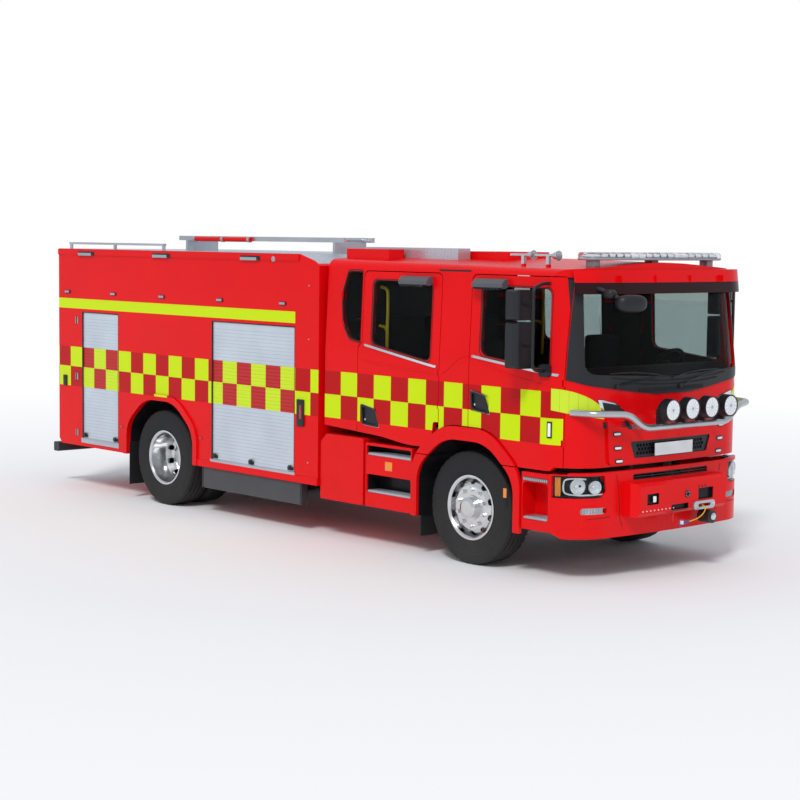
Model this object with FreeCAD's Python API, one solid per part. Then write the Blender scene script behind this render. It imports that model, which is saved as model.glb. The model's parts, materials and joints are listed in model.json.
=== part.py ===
import FreeCAD, Part
import math
import os

os.makedirs("parts", exist_ok=True)
V = FreeCAD.Vector

# Fire engine with a crew cab, two axles and a closed equipment body.
# Millimetres. +Z is up, the front faces -Y and the vehicle's right side is -X.
# Everything is drawn with the front axle at y = 0 and moved at the end,
# so that the origin lies on the ground at the middle of the length.

# Overall sizes
WHEELBASE = 4750.0
CAB_HALF = 1215.0            # half width of the cab at the belt
BODY_HALF = 1250.0           # half width of the equipment body
CAB_FRONT_Y = -1365.0
CAB_REAR_Y = 2000.0
CAB_BODY_GAP = 60.0
REAR_OVERHANG = 2090.0       # rear axle to the back of the body
UNDERRUN_REACH = 240.0
SPOT_REACH = 355.0           # spot lamps ahead of the cab
BODY_FRONT_Y = CAB_REAR_Y + CAB_BODY_GAP
BODY_REAR_Y = WHEELBASE + REAR_OVERHANG
FRONT_TIP_Y = CAB_FRONT_Y - SPOT_REACH
REAR_TIP_Y = BODY_REAR_Y + UNDERRUN_REACH
CENTRE_Y = (FRONT_TIP_Y + REAR_TIP_Y) / 2
SLACK = 200.0                # overrun of every cutting tool
SEAT_GAP = 0.3               # gap between pieces that rest on each other
MOVE_GAP = 8.0               # gap round doors and flaps
WELD = 2.0                   # how far welded pieces run into each other
RUN_CLEARANCE = 0.05         # between a pin and its bore

# Wheels and tyres
TYRE_R = 522.0
TYRE_W = 290.0
TYRE_SIDES = 48
BEAD_R = 280.0
FLANGE_R = 298.0
RIM_W = 240.0
RIM_WALL = 12.0
LIP_T = 12.0
DISC_T = 16.0
FRONT_WHEEL_X = 1020.0
REAR_OUTER_X = BODY_HALF - 178.0
TWIN_SPACING = 334.0
MIDDLE_HALF = REAR_OUTER_X - TWIN_SPACING - TYRE_W / 2 - 33.0    # room for the frame between the wheels
HUB_R = 132.0
FLANGE_SEAT_R = 202.0        # flat ring of the disc that carries the nuts
SPINDLE_R = 45.0
NUT_CIRCLE_R = 168.0
NUT_R = 19.0
NUT_H = 34.0
NUT_COUNT = 10
HAND_HOLE_CIRCLE_R = 238.0
HAND_HOLE_W = 62.0
HAND_HOLE_H = 46.0
HAND_HOLE_COUNT = 10

# Chassis
RAIL_HALF = 385.0
RAIL_H = 270.0
RAIL_FLANGE = 75.0
RAIL_T = 10.0
RAIL_TOP = 950.0
RAIL_LOW = RAIL_TOP - RAIL_H
RAIL_FRONT_Y = CAB_FRONT_Y + 185.0
RAIL_REAR_Y = BODY_REAR_Y - 80.0
CROSS_T = 90.0
CROSS_H = 90.0
SPRING_X = 430.0
REAR_SPRING_X = MIDDLE_HALF - 60.0
SPRING_W = 90.0
SPRING_H = 46.0
SPRING_L = 1500.0
KINGPIN_X = FRONT_WHEEL_X - 140.0
KINGPIN_R = 25.0
EYE_BOSS_R = 48.0
EYE_BOSS_H = 130.0
BEAM_W = 90.0
BEAM_H = 100.0
BEAM_DROP = 60.0
DIFFERENTIAL_R = 210.0
ENGINE_FRONT_Y = -820.0
ENGINE_LENGTH = 1460.0
GEARBOX_LENGTH = 800.0
ENGINE_REAR_Y = ENGINE_FRONT_Y + ENGINE_LENGTH + GEARBOX_LENGTH
SHAFT_Z = 740.0

# Cab shell
CAB_BOTTOM_Z = 1000.0
CAB_WALL = 50.0
ROOF_WALL = 30.0
FRONT_BOW_R = 9200.0         # bow of the cab front, seen from above
CORNER_R = 400.0
BELT_Z = 1790.0
BELT_R = 3000.0
SIDE_LEAN = 40.0
EAVE_Z = 2700.0              # at the front; the roof rises towards the rear
EAVE_R = 95.0
ROOF_Z = 2780.0
ROOF_RISE = 45.0
ROOF_CROWN_R = 6000.0
ROOF_HALF = CAB_HALF - 115.0
RAKE_Y = 130.0               # the windscreen leans back by this from belt to roof
PILLAR_Y = CAB_FRONT_Y + 225.0
FLOOR_TOP_Z = 1220.0
FLOOR_T = 50.0
FLOOR_LOW_Z = FLOOR_TOP_Z - FLOOR_T
SIDE_LOW_Z = 965.0           # lower edge of the cab's side ahead of the wheel

# Doors, windows and hinges
DOOR_TOP_Z = 2640.0
DOOR_TOP_R = 60.0
FRONT_DOOR_Y = (PILLAR_Y + MOVE_GAP, -20.0)
CREW_DOOR_Y = (378.0, 1510.0)
CREW_DOOR_STEP = 55.0        # the crew door is narrower above the belt
CREW_STEP_Z = 1960.0
FRONT_PIN_IN = 63.0
CREW_PIN_IN = 10.0
HINGE_H = 60.0
HINGE_HALF = 6.0
HINGE_NOTCH = 10.0
DOOR_PIN_R = 5.0
DOOR_PIN_L = 30.0
DOOR_SWEEP_R = 62.0          # round the front hinge, kept free for the door's inner edge
GLASS_T = 6.0
GLASS_IN = 12.0
HANDLE_DEPTH = 16.0
SKIN_T = 8.0                 # black surround of the windscreen

# Tilting cab
TILT_Y = CAB_FRONT_Y + 80.0
TILT_Z = 800.0
TILT_PIN_R = 20.0
TILT_ARM_X = 270.0
TILT_ARM_T = 40.0
TILT_ARM_R = 45.0

# Front end
BUMPER_LOW_Z = 385.0
BUMPER_TOP_Z = 960.0
BUMPER_SIDE_TOP_Z = 945.0
BUMPER_T = 20.0
BUMPER_OUT = 30.0
HATCH_OUT = 24.0
WINCH_Y = CAB_FRONT_Y - 170.0
WINCH_HALF = 633.0
WINCH_LOW_Z = 560.0
WINCH_TOP_Z = 858.0
ROPE_D = 10.0
ROPE_ROUTE = ((250.0, -1500.0, 606.0), (250.0, -1548.0, 606.0), (243.0, -1592.0, 588.0), (205.0, -1606.0, 545.0),
              (145.0, -1602.0, 508.0), (78.0, -1594.0, 488.0), (12.0, -1588.0, 480.0))
ROPE_BEND_SHARE = 0.45
EYE_R = 26.0
EYE_REACH = 88.0             # from the knot to the middle of the loop
EYE_WIRE_R = 5.0
KNOT_L = 16.0
KNOT_R = 9.0
HOOK_R = 7.0

# Arches and steps
ARCH_FLAT_SHARE = 0.28
ARCH_DROP_SHARE = 0.235
ARCH_LOW_ROUND_SHARE = 0.26
ARCH_TOP_ROUND_SHARE = 0.36
FENDER_FRONT_Y = -(TYRE_R + 98.0)
FENDER_REAR_Y = TYRE_R + 111.0
FENDER_TOP_Z = 2 * TYRE_R + 96.0
FENDER_LOW_Z = 380.0
FENDER_FLARE = 78.0
FENDER_RISE = 122.0
FENDER_OUT = 25.0
FENDER_SPLIT_Z = 962.0       # the arch above this moves with the cab
FENDER_INNER_X = FRONT_WHEEL_X - 400.0
LINER_T = 10.0
REAR_ARCH_FRONT_Y = WHEELBASE - TYRE_R - 88.0
REAR_ARCH_REAR_Y = WHEELBASE + TYRE_R + 128.0
REAR_ARCH_TOP_Z = 2 * TYRE_R + 106.0

# Equipment body
BODY_LOW_Z = 505.0
BODY_TOP_Z = 2790.0
CORNICE_H = 70.0
CORNICE_OUT = 12.0
FLARE_W = 70.0
FLARE_OUT = 22.0
SHUTTER_IN = 25.0
SHUTTER_LOW_Z = 600.0
SHUTTER_TOP_Z = 2060.0
FRONT_SHUTTER_Y = (BODY_FRONT_Y + 375.0, REAR_ARCH_FRONT_Y - 325.0)
REAR_SHUTTER_Y = (REAR_ARCH_REAR_Y + 195.0, BODY_REAR_Y - 510.0)
BACK_SHUTTER_HALF = 700.0
BACK_SHUTTER_Z = (1010.0, 2300.0)

# Step flaps
FLAP_Y = (BODY_FRONT_Y + 290.0, REAR_ARCH_FRONT_Y - 155.0)
FLAP_LOW_Z = 275.0
FLAP_TOP_Z = 495.0
FLAP_PIN_L = 50.0
FLAP_T = 40.0
FLAP_X = BODY_HALF - 15.0
FLAP_PIN_R = 9.0
JAW_BORE_R = 25.0


# Helpers

def box(x0, x1, y0, y1, z0, z1):
    """Box between two corners, whose values come in any order."""
    low = V(min(x0, x1), min(y0, y1), min(z0, z1))
    return Part.makeBox(abs(x1 - x0), abs(y1 - y0), abs(z1 - z0), low)


def cyl(radius, start, end):
    run = end.sub(start)
    return Part.makeCylinder(radius, run.Length, start, run)


def ball(radius, centre, seam_turn=0):
    """Sphere whose seam can be turned away from the pieces that cross it."""
    sphere = Part.makeSphere(radius)
    sphere.rotate(V(0, 0, 0), V(0, 0, 1), seam_turn)
    sphere.translate(centre)
    return sphere


def mirrored(shape):
    return shape.mirror(V(0, 0, 0), V(1, 0, 0))


def both_sides(shape):
    return [shape, mirrored(shape)]


def rounded_wire(points, lift):
    """Closed wire through 2-D points; a third value rounds that corner."""
    count = len(points)
    edges = []
    last = None
    first = None
    for i in range(count):
        here = points[i]
        before = points[i - 1]
        after = points[(i + 1) % count]
        p = V(here[0], here[1], 0)
        radius = here[2] if len(here) > 2 else 0
        if radius > 0:
            to_before = V(before[0], before[1], 0).sub(p).normalize()
            to_after = V(after[0], after[1], 0).sub(p).normalize()
            half = to_before.getAngle(to_after) / 2
            reach = radius / math.tan(half)
            start = p + to_before * reach
            end = p + to_after * reach
            centre_way = (to_before + to_after).normalize()
            middle = p + centre_way * (radius / math.sin(half) - radius)
        else:
            start = end = p
            middle = None
        if last is not None and last.distanceToPoint(start) > 1e-6:
            edges.append(Part.LineSegment(lift(last), lift(start)).toShape())
        if middle is not None:
            edges.append(Part.Arc(lift(start), lift(middle), lift(end)).toShape())
        if first is None:
            first = start
        last = end
    if last.distanceToPoint(first) > 1e-6:
        edges.append(Part.LineSegment(lift(last), lift(first)).toShape())
    return Part.Wire(edges)


def prism_x(points, x0, x1):
    wire = rounded_wire(points, lambda p: V(x0, p.x, p.y))
    return Part.Face(wire).extrude(V(x1 - x0, 0, 0))


def prism_y(points, y0, y1, rise=0):
    wire = rounded_wire(points, lambda p: V(p.x, y0, p.y))
    return Part.Face(wire).extrude(V(0, y1 - y0, rise))


def prism_z(points, z0, z1):
    wire = rounded_wire(points, lambda p: V(p.x, p.y, z0))
    return Part.Face(wire).extrude(V(0, 0, z1 - z0))


def rounded_box_points(a0, a1, b0, b1, radius):
    return [(a0, b0, radius), (a1, b0, radius), (a1, b1, radius), (a0, b1, radius)]


def fuse(shapes):
    result = shapes[0].fuse(shapes[1:]) if len(shapes) > 1 else shapes[0]
    return result.removeSplitter()


def bent_path(points, bend_share):
    """Straight runs joined by tangent arcs as large as the runs allow."""
    corners = [V(*p) for p in points]
    edges = []
    last = corners[0]
    for i in range(1, len(corners) - 1):
        here = corners[i]
        back = corners[i - 1].sub(here)
        ahead = corners[i + 1].sub(here)
        reach = bend_share * min(back.Length, ahead.Length)
        back.normalize()
        ahead.normalize()
        half = back.getAngle(ahead) / 2
        radius = reach * math.tan(half)
        start = here + back * reach
        end = here + ahead * reach
        middle = here + (back + ahead).normalize() * (radius / math.sin(half) - radius)
        edges.append(Part.LineSegment(last, start).toShape())
        edges.append(Part.Arc(start, middle, end).toShape())
        last = end
    edges.append(Part.LineSegment(last, corners[-1]).toShape())
    return Part.Wire(edges)


def tube_along(points, radius, bend_share):
    """Round bar that follows a bent path."""
    start = V(*points[0])
    way = V(*points[1]).sub(start)
    circle = Part.Wire(Part.Circle(start, way, radius).toShape())
    return bent_path(points, bend_share).makePipeShell([circle], True, False)


def save(name, shapes):
    """Moves the shapes to the origin and writes them as one file."""
    solids = []
    for shape in shapes:
        for solid in shape.Solids:
            moved = solid.copy()
            moved.translate(V(0, -CENTRE_Y, 0))
            solids.append(moved)
    piece = solids[0] if len(solids) == 1 else Part.makeCompound(solids)
    piece.exportStep("parts/" + name + ".step")
    volume = sum(s.Volume for s in solids) / 1e9
    print(name, len(solids), "solids", round(volume, 5), "m3", piece.isValid())


# Wheels

def flat_sided_ring(profile, sides, middle_x, side):
    """Ring of flat faces round the axle line, from (outward, radius) points."""
    rows = []
    for out, radius in profile:
        row = []
        for k in range(sides):
            turn = 2 * math.pi * k / sides
            row.append(V(middle_x + side * out, radius * math.sin(turn), -radius * math.cos(turn)))
        rows.append(row)
    faces = []
    for i in range(len(profile)):
        here = rows[i]
        beside = rows[(i + 1) % len(profile)]
        for k in range(sides):
            after = (k + 1) % sides
            corners = [here[k], here[after], beside[after], beside[k], here[k]]
            faces.append(Part.Face(Part.makePolygon(corners)))
    shell = Part.makeShell(faces)
    shell.sewShape()
    solid = Part.makeSolid(shell)
    if solid.Volume < 0:
        solid.reverse()
    return solid


def tyre(middle_x, side):
    half_bead = RIM_W / 2
    half_side = TYRE_W / 2
    shoulder = TYRE_W * 0.43
    tread = TYRE_W * 0.30
    shoulder_r = TYRE_R - 20.0
    widest_r = (FLANGE_R + TYRE_R) / 2
    flat = math.cos(math.pi / TYRE_SIDES)
    bead = (BEAD_R + SEAT_GAP) / flat
    flange = (FLANGE_R + SEAT_GAP) / flat
    outer = [(half_bead, bead), (half_bead, flange), (half_side, widest_r), (shoulder, shoulder_r), (tread, TYRE_R)]
    profile = outer + [(-out, radius) for out, radius in reversed(outer)]
    return flat_sided_ring(profile, TYRE_SIDES, middle_x, side)


def turned(profile, middle_x, side):
    """Revolves (distance outward, radius) points about the axle line."""
    points = [V(middle_x + side * out, 0, radius) for out, radius in profile]
    face = Part.Face(Part.makePolygon(points + points[:1]))
    return face.revolve(V(0, 0, 0), V(1, 0, 0), 360)


def rim(middle_x, side, disc_out, hub_out):
    """Barrel with a lip at its outer edge, joined to a dished disc with a flat hub ring."""
    half = RIM_W / 2
    well = BEAD_R - RIM_WALL
    bore = SPINDLE_R + RUN_CLEARANCE
    disc_half = DISC_T / 2
    knee = (well + FLANGE_SEAT_R) / 2
    knee_out = disc_out + (hub_out - disc_out) * 0.7
    profile = (
        (-half, BEAD_R), (half + SEAT_GAP, BEAD_R), (half + SEAT_GAP, FLANGE_R), (half + LIP_T, FLANGE_R),
        (half + LIP_T, BEAD_R), (half, well), (disc_out + disc_half, well), (knee_out + disc_half, knee),
        (hub_out + disc_half, FLANGE_SEAT_R), (hub_out + disc_half, bore), (hub_out - disc_half, bore),
        (hub_out - disc_half, FLANGE_SEAT_R), (knee_out - disc_half, knee), (disc_out - disc_half, well),
        (-half, well))
    return turned(profile, middle_x, side)


def around(shape, count):
    copies = []
    for i in range(count):
        turn = shape.copy()
        turn.rotate(V(0, 0, 0), V(1, 0, 0), i * 360.0 / count)
        copies.append(turn)
    return copies


def place_wheel(shape, axle_y):
    moved = shape.copy()
    moved.translate(V(0, axle_y, TYRE_R))
    return moved


def wheel_nut(face_x, side):
    points = []
    for k in range(6):
        turn = math.pi * k / 3
        points.append((NUT_R * math.cos(turn), NUT_CIRCLE_R + NUT_R * math.sin(turn)))
    return prism_x(points, face_x, face_x + side * NUT_H)


def hand_hole(x0, x1):
    """Oval hole of the wheel disc."""
    half_w = HAND_HOLE_W / 2
    half_h = HAND_HOLE_H / 2
    round_r = half_h * 0.96
    points = rounded_box_points(-half_w, half_w, HAND_HOLE_CIRCLE_R - half_h, HAND_HOLE_CIRCLE_R + half_h, round_r)
    return prism_x(points, x0, x1)


def spindle_bore(x0, x1):
    return cyl(SPINDLE_R + RUN_CLEARANCE, V(x0, 0, 0), V(x1, 0, 0))


def front_rim(side):
    hub_out = 110.0
    disc_out = 45.0
    hub_back = 50.0
    cap_l = 62.0
    cap_wall = 20.0
    body = rim(side * FRONT_WHEEL_X, side, disc_out, hub_out)
    face_x = side * (FRONT_WHEEL_X + hub_out)
    cap_end = face_x + side * cap_l
    cap = cyl(HUB_R * 0.72, V(face_x, 0, 0), V(cap_end, 0, 0))
    collar = cyl(HUB_R * 0.86, V(face_x, 0, 0), V(face_x + side * cap_l * 0.4, 0, 0))
    crown = Part.makeCone(HUB_R * 0.72, HUB_R * 0.5, cap_l * 0.2, V(cap_end, 0, 0), V(side, 0, 0))
    hub = cyl(HUB_R, V(side * (FRONT_WHEEL_X - hub_back), 0, 0), V(face_x, 0, 0))
    nuts = around(wheel_nut(face_x, side), NUT_COUNT)
    holes = around(hand_hole(side * FRONT_WHEEL_X, face_x + side * SLACK), HAND_HOLE_COUNT)
    solid = fuse([body, hub, collar, cap, crown] + nuts)
    bore_end = face_x - side * cap_wall
    hub_plug = cyl(SPINDLE_R + WELD, V(bore_end, 0, 0), V(face_x + side * cap_wall, 0, 0))
    solid = fuse([solid, hub_plug])
    return solid.cut([spindle_bore(side * (FRONT_WHEEL_X - SLACK), bore_end)] + holes)


def rear_rims(side):
    hub_back = 62.0
    hub_nose = 60.0
    cap_wall = 20.0
    disc_back = TWIN_SPACING / 2 - 90.0
    seat_back = TWIN_SPACING / 2 - DISC_T / 2
    inner_x = REAR_OUTER_X - TWIN_SPACING
    outer = rim(side * REAR_OUTER_X, side, -disc_back, -seat_back)
    inner = rim(side * inner_x, -side, -disc_back, -seat_back)
    face_x = side * (REAR_OUTER_X - TWIN_SPACING / 2 + DISC_T)
    hub = cyl(HUB_R, V(side * (inner_x - hub_back), 0, 0), V(face_x + side * hub_nose, 0, 0))
    nose_end = V(face_x + side * hub_nose, 0, 0)
    crown = Part.makeCone(HUB_R, HUB_R * 0.6, hub_nose * 0.5, nose_end, V(side, 0, 0))
    nuts = around(wheel_nut(face_x, side), NUT_COUNT)
    holes = around(hand_hole(side * inner_x, side * REAR_OUTER_X), HAND_HOLE_COUNT)
    bore_end = face_x - side * cap_wall
    plug = cyl(SPINDLE_R + WELD, V(bore_end, 0, 0), V(face_x + side * cap_wall, 0, 0))
    solid = fuse([outer, inner, hub, crown, plug] + nuts)
    return solid.cut([spindle_bore(side * (inner_x - SLACK), bore_end)] + holes)


def make_wheels():
    for name, side in (("right", -1), ("left", 1)):
        save("tyre_front_" + name, [place_wheel(tyre(side * FRONT_WHEEL_X, side), 0)])
        save("rim_front_" + name, [place_wheel(front_rim(side), 0)])
        twins = [tyre(side * REAR_OUTER_X, side), tyre(side * (REAR_OUTER_X - TWIN_SPACING), side)]
        save("tyres_rear_" + name, [place_wheel(t, WHEELBASE) for t in twins])
        save("rim_rear_" + name, [place_wheel(rear_rims(side), WHEELBASE)])


# Axles and steering knuckles

def knuckle(side):
    """Fork round the axle's boss, with the wheel spindle and the steering arm."""
    lug_t = 40.0
    plate_in = 56.0
    plate_out = 80.0
    spindle_start = 70.0
    spindle_end = FRONT_WHEEL_X + 85.0
    arm_half = 20.0
    arm_l = 230.0
    arm_drop = 14.0
    top = TYRE_R + EYE_BOSS_H / 2
    low = TYRE_R - EYE_BOSS_H / 2
    pin_x = side * KINGPIN_X
    pieces = [cyl(KINGPIN_R, V(pin_x, 0, low - lug_t), V(pin_x, 0, top + lug_t))]
    for z0 in (low - lug_t - SEAT_GAP, top + SEAT_GAP):
        pieces.append(cyl(EYE_BOSS_R, V(pin_x, 0, z0), V(pin_x, 0, z0 + lug_t)))
        pieces.append(box(pin_x, pin_x + side * plate_out, -EYE_BOSS_R, EYE_BOSS_R, z0, z0 + lug_t))
    pieces.append(box(pin_x + side * plate_in, pin_x + side * plate_out, -EYE_BOSS_R, EYE_BOSS_R,
                      low - lug_t - SEAT_GAP, top + lug_t + SEAT_GAP))
    pieces.append(cyl(SPINDLE_R, V(pin_x + side * spindle_start, 0, TYRE_R), V(side * spindle_end, 0, TYRE_R)))
    pieces.append(box(pin_x - arm_half, pin_x + arm_half, arm_half, arm_l, low - lug_t - SEAT_GAP,
                      low - arm_drop - SEAT_GAP))
    return fuse(pieces)


def leaf_spring(x, y, z):
    """Leaf pack that sags in the middle, with its ends under the frame."""
    rise = RAIL_LOW - z - SPRING_H - SEAT_GAP
    half = SPRING_L / 2
    x0 = x - SPRING_W / 2
    high = z + rise + SPRING_H
    middle_top = z + SPRING_H * 1.4
    wire = Part.Wire([
        Part.Arc(V(x0, y - half, z + rise), V(x0, y, z), V(x0, y + half, z + rise)).toShape(),
        Part.LineSegment(V(x0, y + half, z + rise), V(x0, y + half, high)).toShape(),
        Part.Arc(V(x0, y + half, high), V(x0, y, middle_top), V(x0, y - half, high)).toShape(),
        Part.LineSegment(V(x0, y - half, high), V(x0, y - half, z + rise)).toShape()])
    return Part.Face(wire).extrude(V(SPRING_W, 0, 0))


def front_axle():
    """Forged beam, dropped in the middle, with the bosses of the kingpins and its springs."""
    shoulder_x = KINGPIN_X - 130.0
    drop_x = SPRING_X + 60.0
    clamp_half = 60.0
    clamp_h = 30.0
    middle = TYRE_R - BEAM_DROP
    half_h = BEAM_H / 2
    right_low = [(KINGPIN_X, TYRE_R - half_h), (shoulder_x, TYRE_R - half_h, BEAM_H), (drop_x, middle - half_h, BEAM_H)]
    right_top = [(KINGPIN_X, TYRE_R + half_h), (shoulder_x, TYRE_R + half_h, BEAM_H), (drop_x, middle + half_h, BEAM_H)]

    def other_side(points):
        return [(-p[0],) + tuple(p[1:]) for p in points]

    outline = other_side(right_low) + right_low[::-1] + right_top + other_side(right_top)[::-1]
    pieces = [prism_y(outline, -BEAM_W / 2, BEAM_W / 2)]
    eye_low = TYRE_R - EYE_BOSS_H / 2
    bores = []
    for side in (-1, 1):
        x = side * KINGPIN_X
        pieces.append(cyl(EYE_BOSS_R, V(x, 0, eye_low), V(x, 0, eye_low + EYE_BOSS_H)))
        bores.append(cyl(KINGPIN_R + RUN_CLEARANCE, V(x, 0, 0), V(x, 0, TYRE_R * 2)))
        x = side * SPRING_X
        pieces.append(leaf_spring(x, 0, middle + half_h))
        pieces.append(box(x - SPRING_W / 2, x + SPRING_W / 2, -clamp_half, clamp_half, middle, middle + half_h + clamp_h))
    return fuse(pieces).cut(bores)


def rear_axle():
    """Axle tube with its differential, springs, spindles and the drive shaft."""
    housing_r = 75.0
    seat_in = 20.0
    nose_l = 330.0
    nose_r = 60.0
    nose_rise = 20.0
    shaft_r = 50.0
    hub_back = 62.0
    spindle_in = 30.0
    end_x = REAR_OUTER_X - TWIN_SPACING - hub_back - WELD
    spindle_end = REAR_OUTER_X - TWIN_SPACING / 2 - spindle_in
    nose_z = TYRE_R + nose_rise
    shaft_start = ENGINE_REAR_Y + SEAT_GAP + WELD * 2
    pieces = [cyl(housing_r, V(-end_x, WHEELBASE, TYRE_R), V(end_x, WHEELBASE, TYRE_R)),
              ball(DIFFERENTIAL_R, V(0, WHEELBASE, TYRE_R), 45.0),
              cyl(nose_r, V(0, WHEELBASE - nose_l, nose_z), V(0, WHEELBASE, nose_z)),
              cyl(shaft_r, V(0, shaft_start, SHAFT_Z), V(0, WHEELBASE - nose_l + spindle_in, nose_z))]
    for side in (-1, 1):
        pieces.append(cyl(SPINDLE_R, V(side * (end_x - spindle_in), WHEELBASE, TYRE_R),
                          V(side * spindle_end, WHEELBASE, TYRE_R)))
        pieces.append(leaf_spring(side * REAR_SPRING_X, WHEELBASE, TYRE_R + housing_r - seat_in))
    return fuse(pieces)


# Frame and engine

def spring_hangers(axle_y, spring_x):
    half_t = 40.0
    top_in = 60.0
    pieces = []
    for y in (axle_y - SPRING_L / 2, axle_y + SPRING_L / 2):
        hanger = box(-spring_x - SPRING_W / 2, -RAIL_HALF + WELD, y - half_t, y + half_t, RAIL_LOW, RAIL_TOP - top_in)
        pieces += both_sides(hanger)
    return pieces


def tilt_brackets():
    """Brackets and pins that the cab tilts about."""
    below = 60.0
    above = 50.0
    side_gap = 2.0
    pin_out = 10.0
    pieces = []
    for side in (-1, 1):
        x0 = side * (TILT_ARM_X + TILT_ARM_T / 2 + side_gap)
        x1 = side * RAIL_HALF
        pieces.append(box(x0, x1, TILT_Y - TILT_ARM_R, RAIL_FRONT_Y + WELD, TILT_Z - below, TILT_Z + above))
        pin_start = V(side * (TILT_ARM_X - TILT_ARM_T / 2 - pin_out), TILT_Y, TILT_Z)
        pieces.append(cyl(TILT_PIN_R, pin_start, V(x1, TILT_Y, TILT_Z)))
    return pieces


def chassis_frame():
    """Two channel rails with cross members, spring hangers and the cab's mounts."""
    side_in = 5.0
    mount_y = (CAB_REAR_Y - 300.0, CAB_REAR_Y - 140.0)
    pieces = both_sides(box(-RAIL_HALF, -RAIL_HALF + RAIL_T, RAIL_FRONT_Y, RAIL_REAR_Y, RAIL_LOW, RAIL_TOP))
    for z0 in (RAIL_LOW, RAIL_TOP - RAIL_T):
        flange = box(-RAIL_HALF, -RAIL_HALF + RAIL_FLANGE, RAIL_FRONT_Y, RAIL_REAR_Y, z0, z0 + RAIL_T)
        pieces += both_sides(flange)
    behind = ENGINE_REAR_Y + 120.0
    rear_reach = RAIL_REAR_Y - CROSS_T
    places = [RAIL_FRONT_Y + 180.0, behind]
    places += [behind + (WHEELBASE - behind) * share for share in (0.25, 0.5, 0.75)]
    places += [(WHEELBASE + DIFFERENTIAL_R + rear_reach) / 2, rear_reach]
    cross_top = RAIL_TOP - RAIL_T - side_in
    for y in places:
        pieces.append(box(-RAIL_HALF + side_in, RAIL_HALF - side_in, y - CROSS_T / 2, y + CROSS_T / 2,
                          cross_top - CROSS_H, cross_top))
    pieces += spring_hangers(WHEELBASE, REAR_SPRING_X)
    pieces += spring_hangers(0, SPRING_X)
    pieces += tilt_brackets()
    mount = box(-RAIL_HALF, -RAIL_HALF + RAIL_FLANGE, mount_y[0], mount_y[1], RAIL_TOP - WELD, FLOOR_LOW_Z - SEAT_GAP)
    return fuse(pieces + both_sides(mount))


def engine_block():
    """Engine with its sump and gearbox as one plain block, on mounts between the rails."""
    half = 300.0
    sump_z = 560.0
    sump_rise = 120.0
    top_z = 1330.0
    shoulder = 60.0
    gearbox_low = (200.0, 640.0)
    gearbox_top = (220.0, 900.0)
    mount_low = 760.0
    mount_h = 55.0
    mount_l = 80.0
    front_mount_y = ENGINE_FRONT_Y + 300.0
    rear_mount_y = ENGINE_REAR_Y - 240.0
    axle_room = 40.0
    y1 = ENGINE_FRONT_Y + ENGINE_LENGTH
    outline = ((-half, sump_z + sump_rise), (-half * 0.6, sump_z), (half * 0.6, sump_z), (half, sump_z + sump_rise),
               (half, top_z - shoulder), (half * 0.8, top_z), (-half * 0.8, top_z), (-half, top_z - shoulder))
    block = prism_y(outline, ENGINE_FRONT_Y, y1)
    gearbox = prism_y(((-gearbox_low[0], gearbox_low[1]), gearbox_low, gearbox_top, (-gearbox_top[0], gearbox_top[1])),
                      y1 - WELD, ENGINE_REAR_Y)
    web_x = RAIL_HALF - RAIL_T - SEAT_GAP
    mounts = [box(-web_x, web_x, y, y + mount_l, mount_low, mount_low + mount_h) for y in (front_mount_y, rear_mount_y)]
    solid = fuse([block, gearbox] + mounts)
    room = BEAM_W / 2 + axle_room
    return solid.cut(box(-RAIL_HALF, RAIL_HALF, -room, room, 0, TYRE_R + room))


# Cab shell

def cab_plan(inset, z, rear_y):
    """Closed wire of the cab seen from above, with a bowed front and round corners."""
    half = CAB_HALF - inset
    front = CAB_FRONT_Y + inset
    big = FRONT_BOW_R - inset
    small = CORNER_R - inset
    big_y = front + big
    small_x = half - small
    small_y = big_y - math.sqrt((big - small) ** 2 - small_x ** 2)
    way = V(small_x, small_y - big_y, 0).normalize()
    joint = V(way.x * big, big_y + way.y * big, z)
    mid_angle = math.atan2(way.y, way.x) / 2
    mid = V(small_x + small * math.cos(mid_angle), small_y + small * math.sin(mid_angle), z)
    edges = [
        Part.Arc(V(-joint.x, joint.y, z), V(0, front, z), joint).toShape(),
        Part.Arc(joint, mid, V(half, small_y, z)).toShape(),
        Part.LineSegment(V(half, small_y, z), V(half, rear_y, z)).toShape(),
        Part.LineSegment(V(half, rear_y, z), V(-half, rear_y, z)).toShape(),
        Part.LineSegment(V(-half, rear_y, z), V(-half, small_y, z)).toShape(),
        Part.Arc(V(-half, small_y, z), V(-mid.x, mid.y, z), V(-joint.x, joint.y, z)).toShape()]
    return Part.Wire(edges)


def cab_section(inset, top_inset, drop):
    """Outline of the cab seen from the front, at the front end."""
    half = CAB_HALF - inset
    top = ROOF_Z - top_inset - drop
    eave = EAVE_Z - top_inset * 0.6 - drop
    eave_r = EAVE_R - inset * 0.5
    low = CAB_BOTTOM_Z - SLACK * 4
    lean_half = half - SIDE_LEAN
    return [(-half, low), (half, low), (half, BELT_Z, BELT_R), (lean_half, eave, eave_r), (0, top, ROOF_CROWN_R),
            (-lean_half, eave, eave_r), (-half, BELT_Z, BELT_R)]


def cab_form(inset, low_z, top_inset=None):
    """Solid bounded by the cab skin moved in by the inset; the roof rises to the rear."""
    if top_inset is None:
        top_inset = inset
    rear = CAB_REAR_Y - inset
    far = rear + RAKE_Y + SLACK
    lower = Part.Face(cab_plan(inset, low_z, far)).extrude(V(0, 0, BELT_Z - low_z))
    rise = ROOF_Z + SLACK - BELT_Z
    lean = RAKE_Y * rise / (ROOF_Z - BELT_Z)
    upper = Part.Face(cab_plan(inset, BELT_Z, far)).extrude(V(0, lean, rise))
    start = CAB_FRONT_Y - SLACK
    slope = ROOF_RISE / (CAB_REAR_Y - CAB_FRONT_Y)
    section = prism_y(cab_section(inset, top_inset, slope * SLACK), start, rear, slope * (rear - start))
    return lower.fuse(upper).common(section).removeSplitter()


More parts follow.
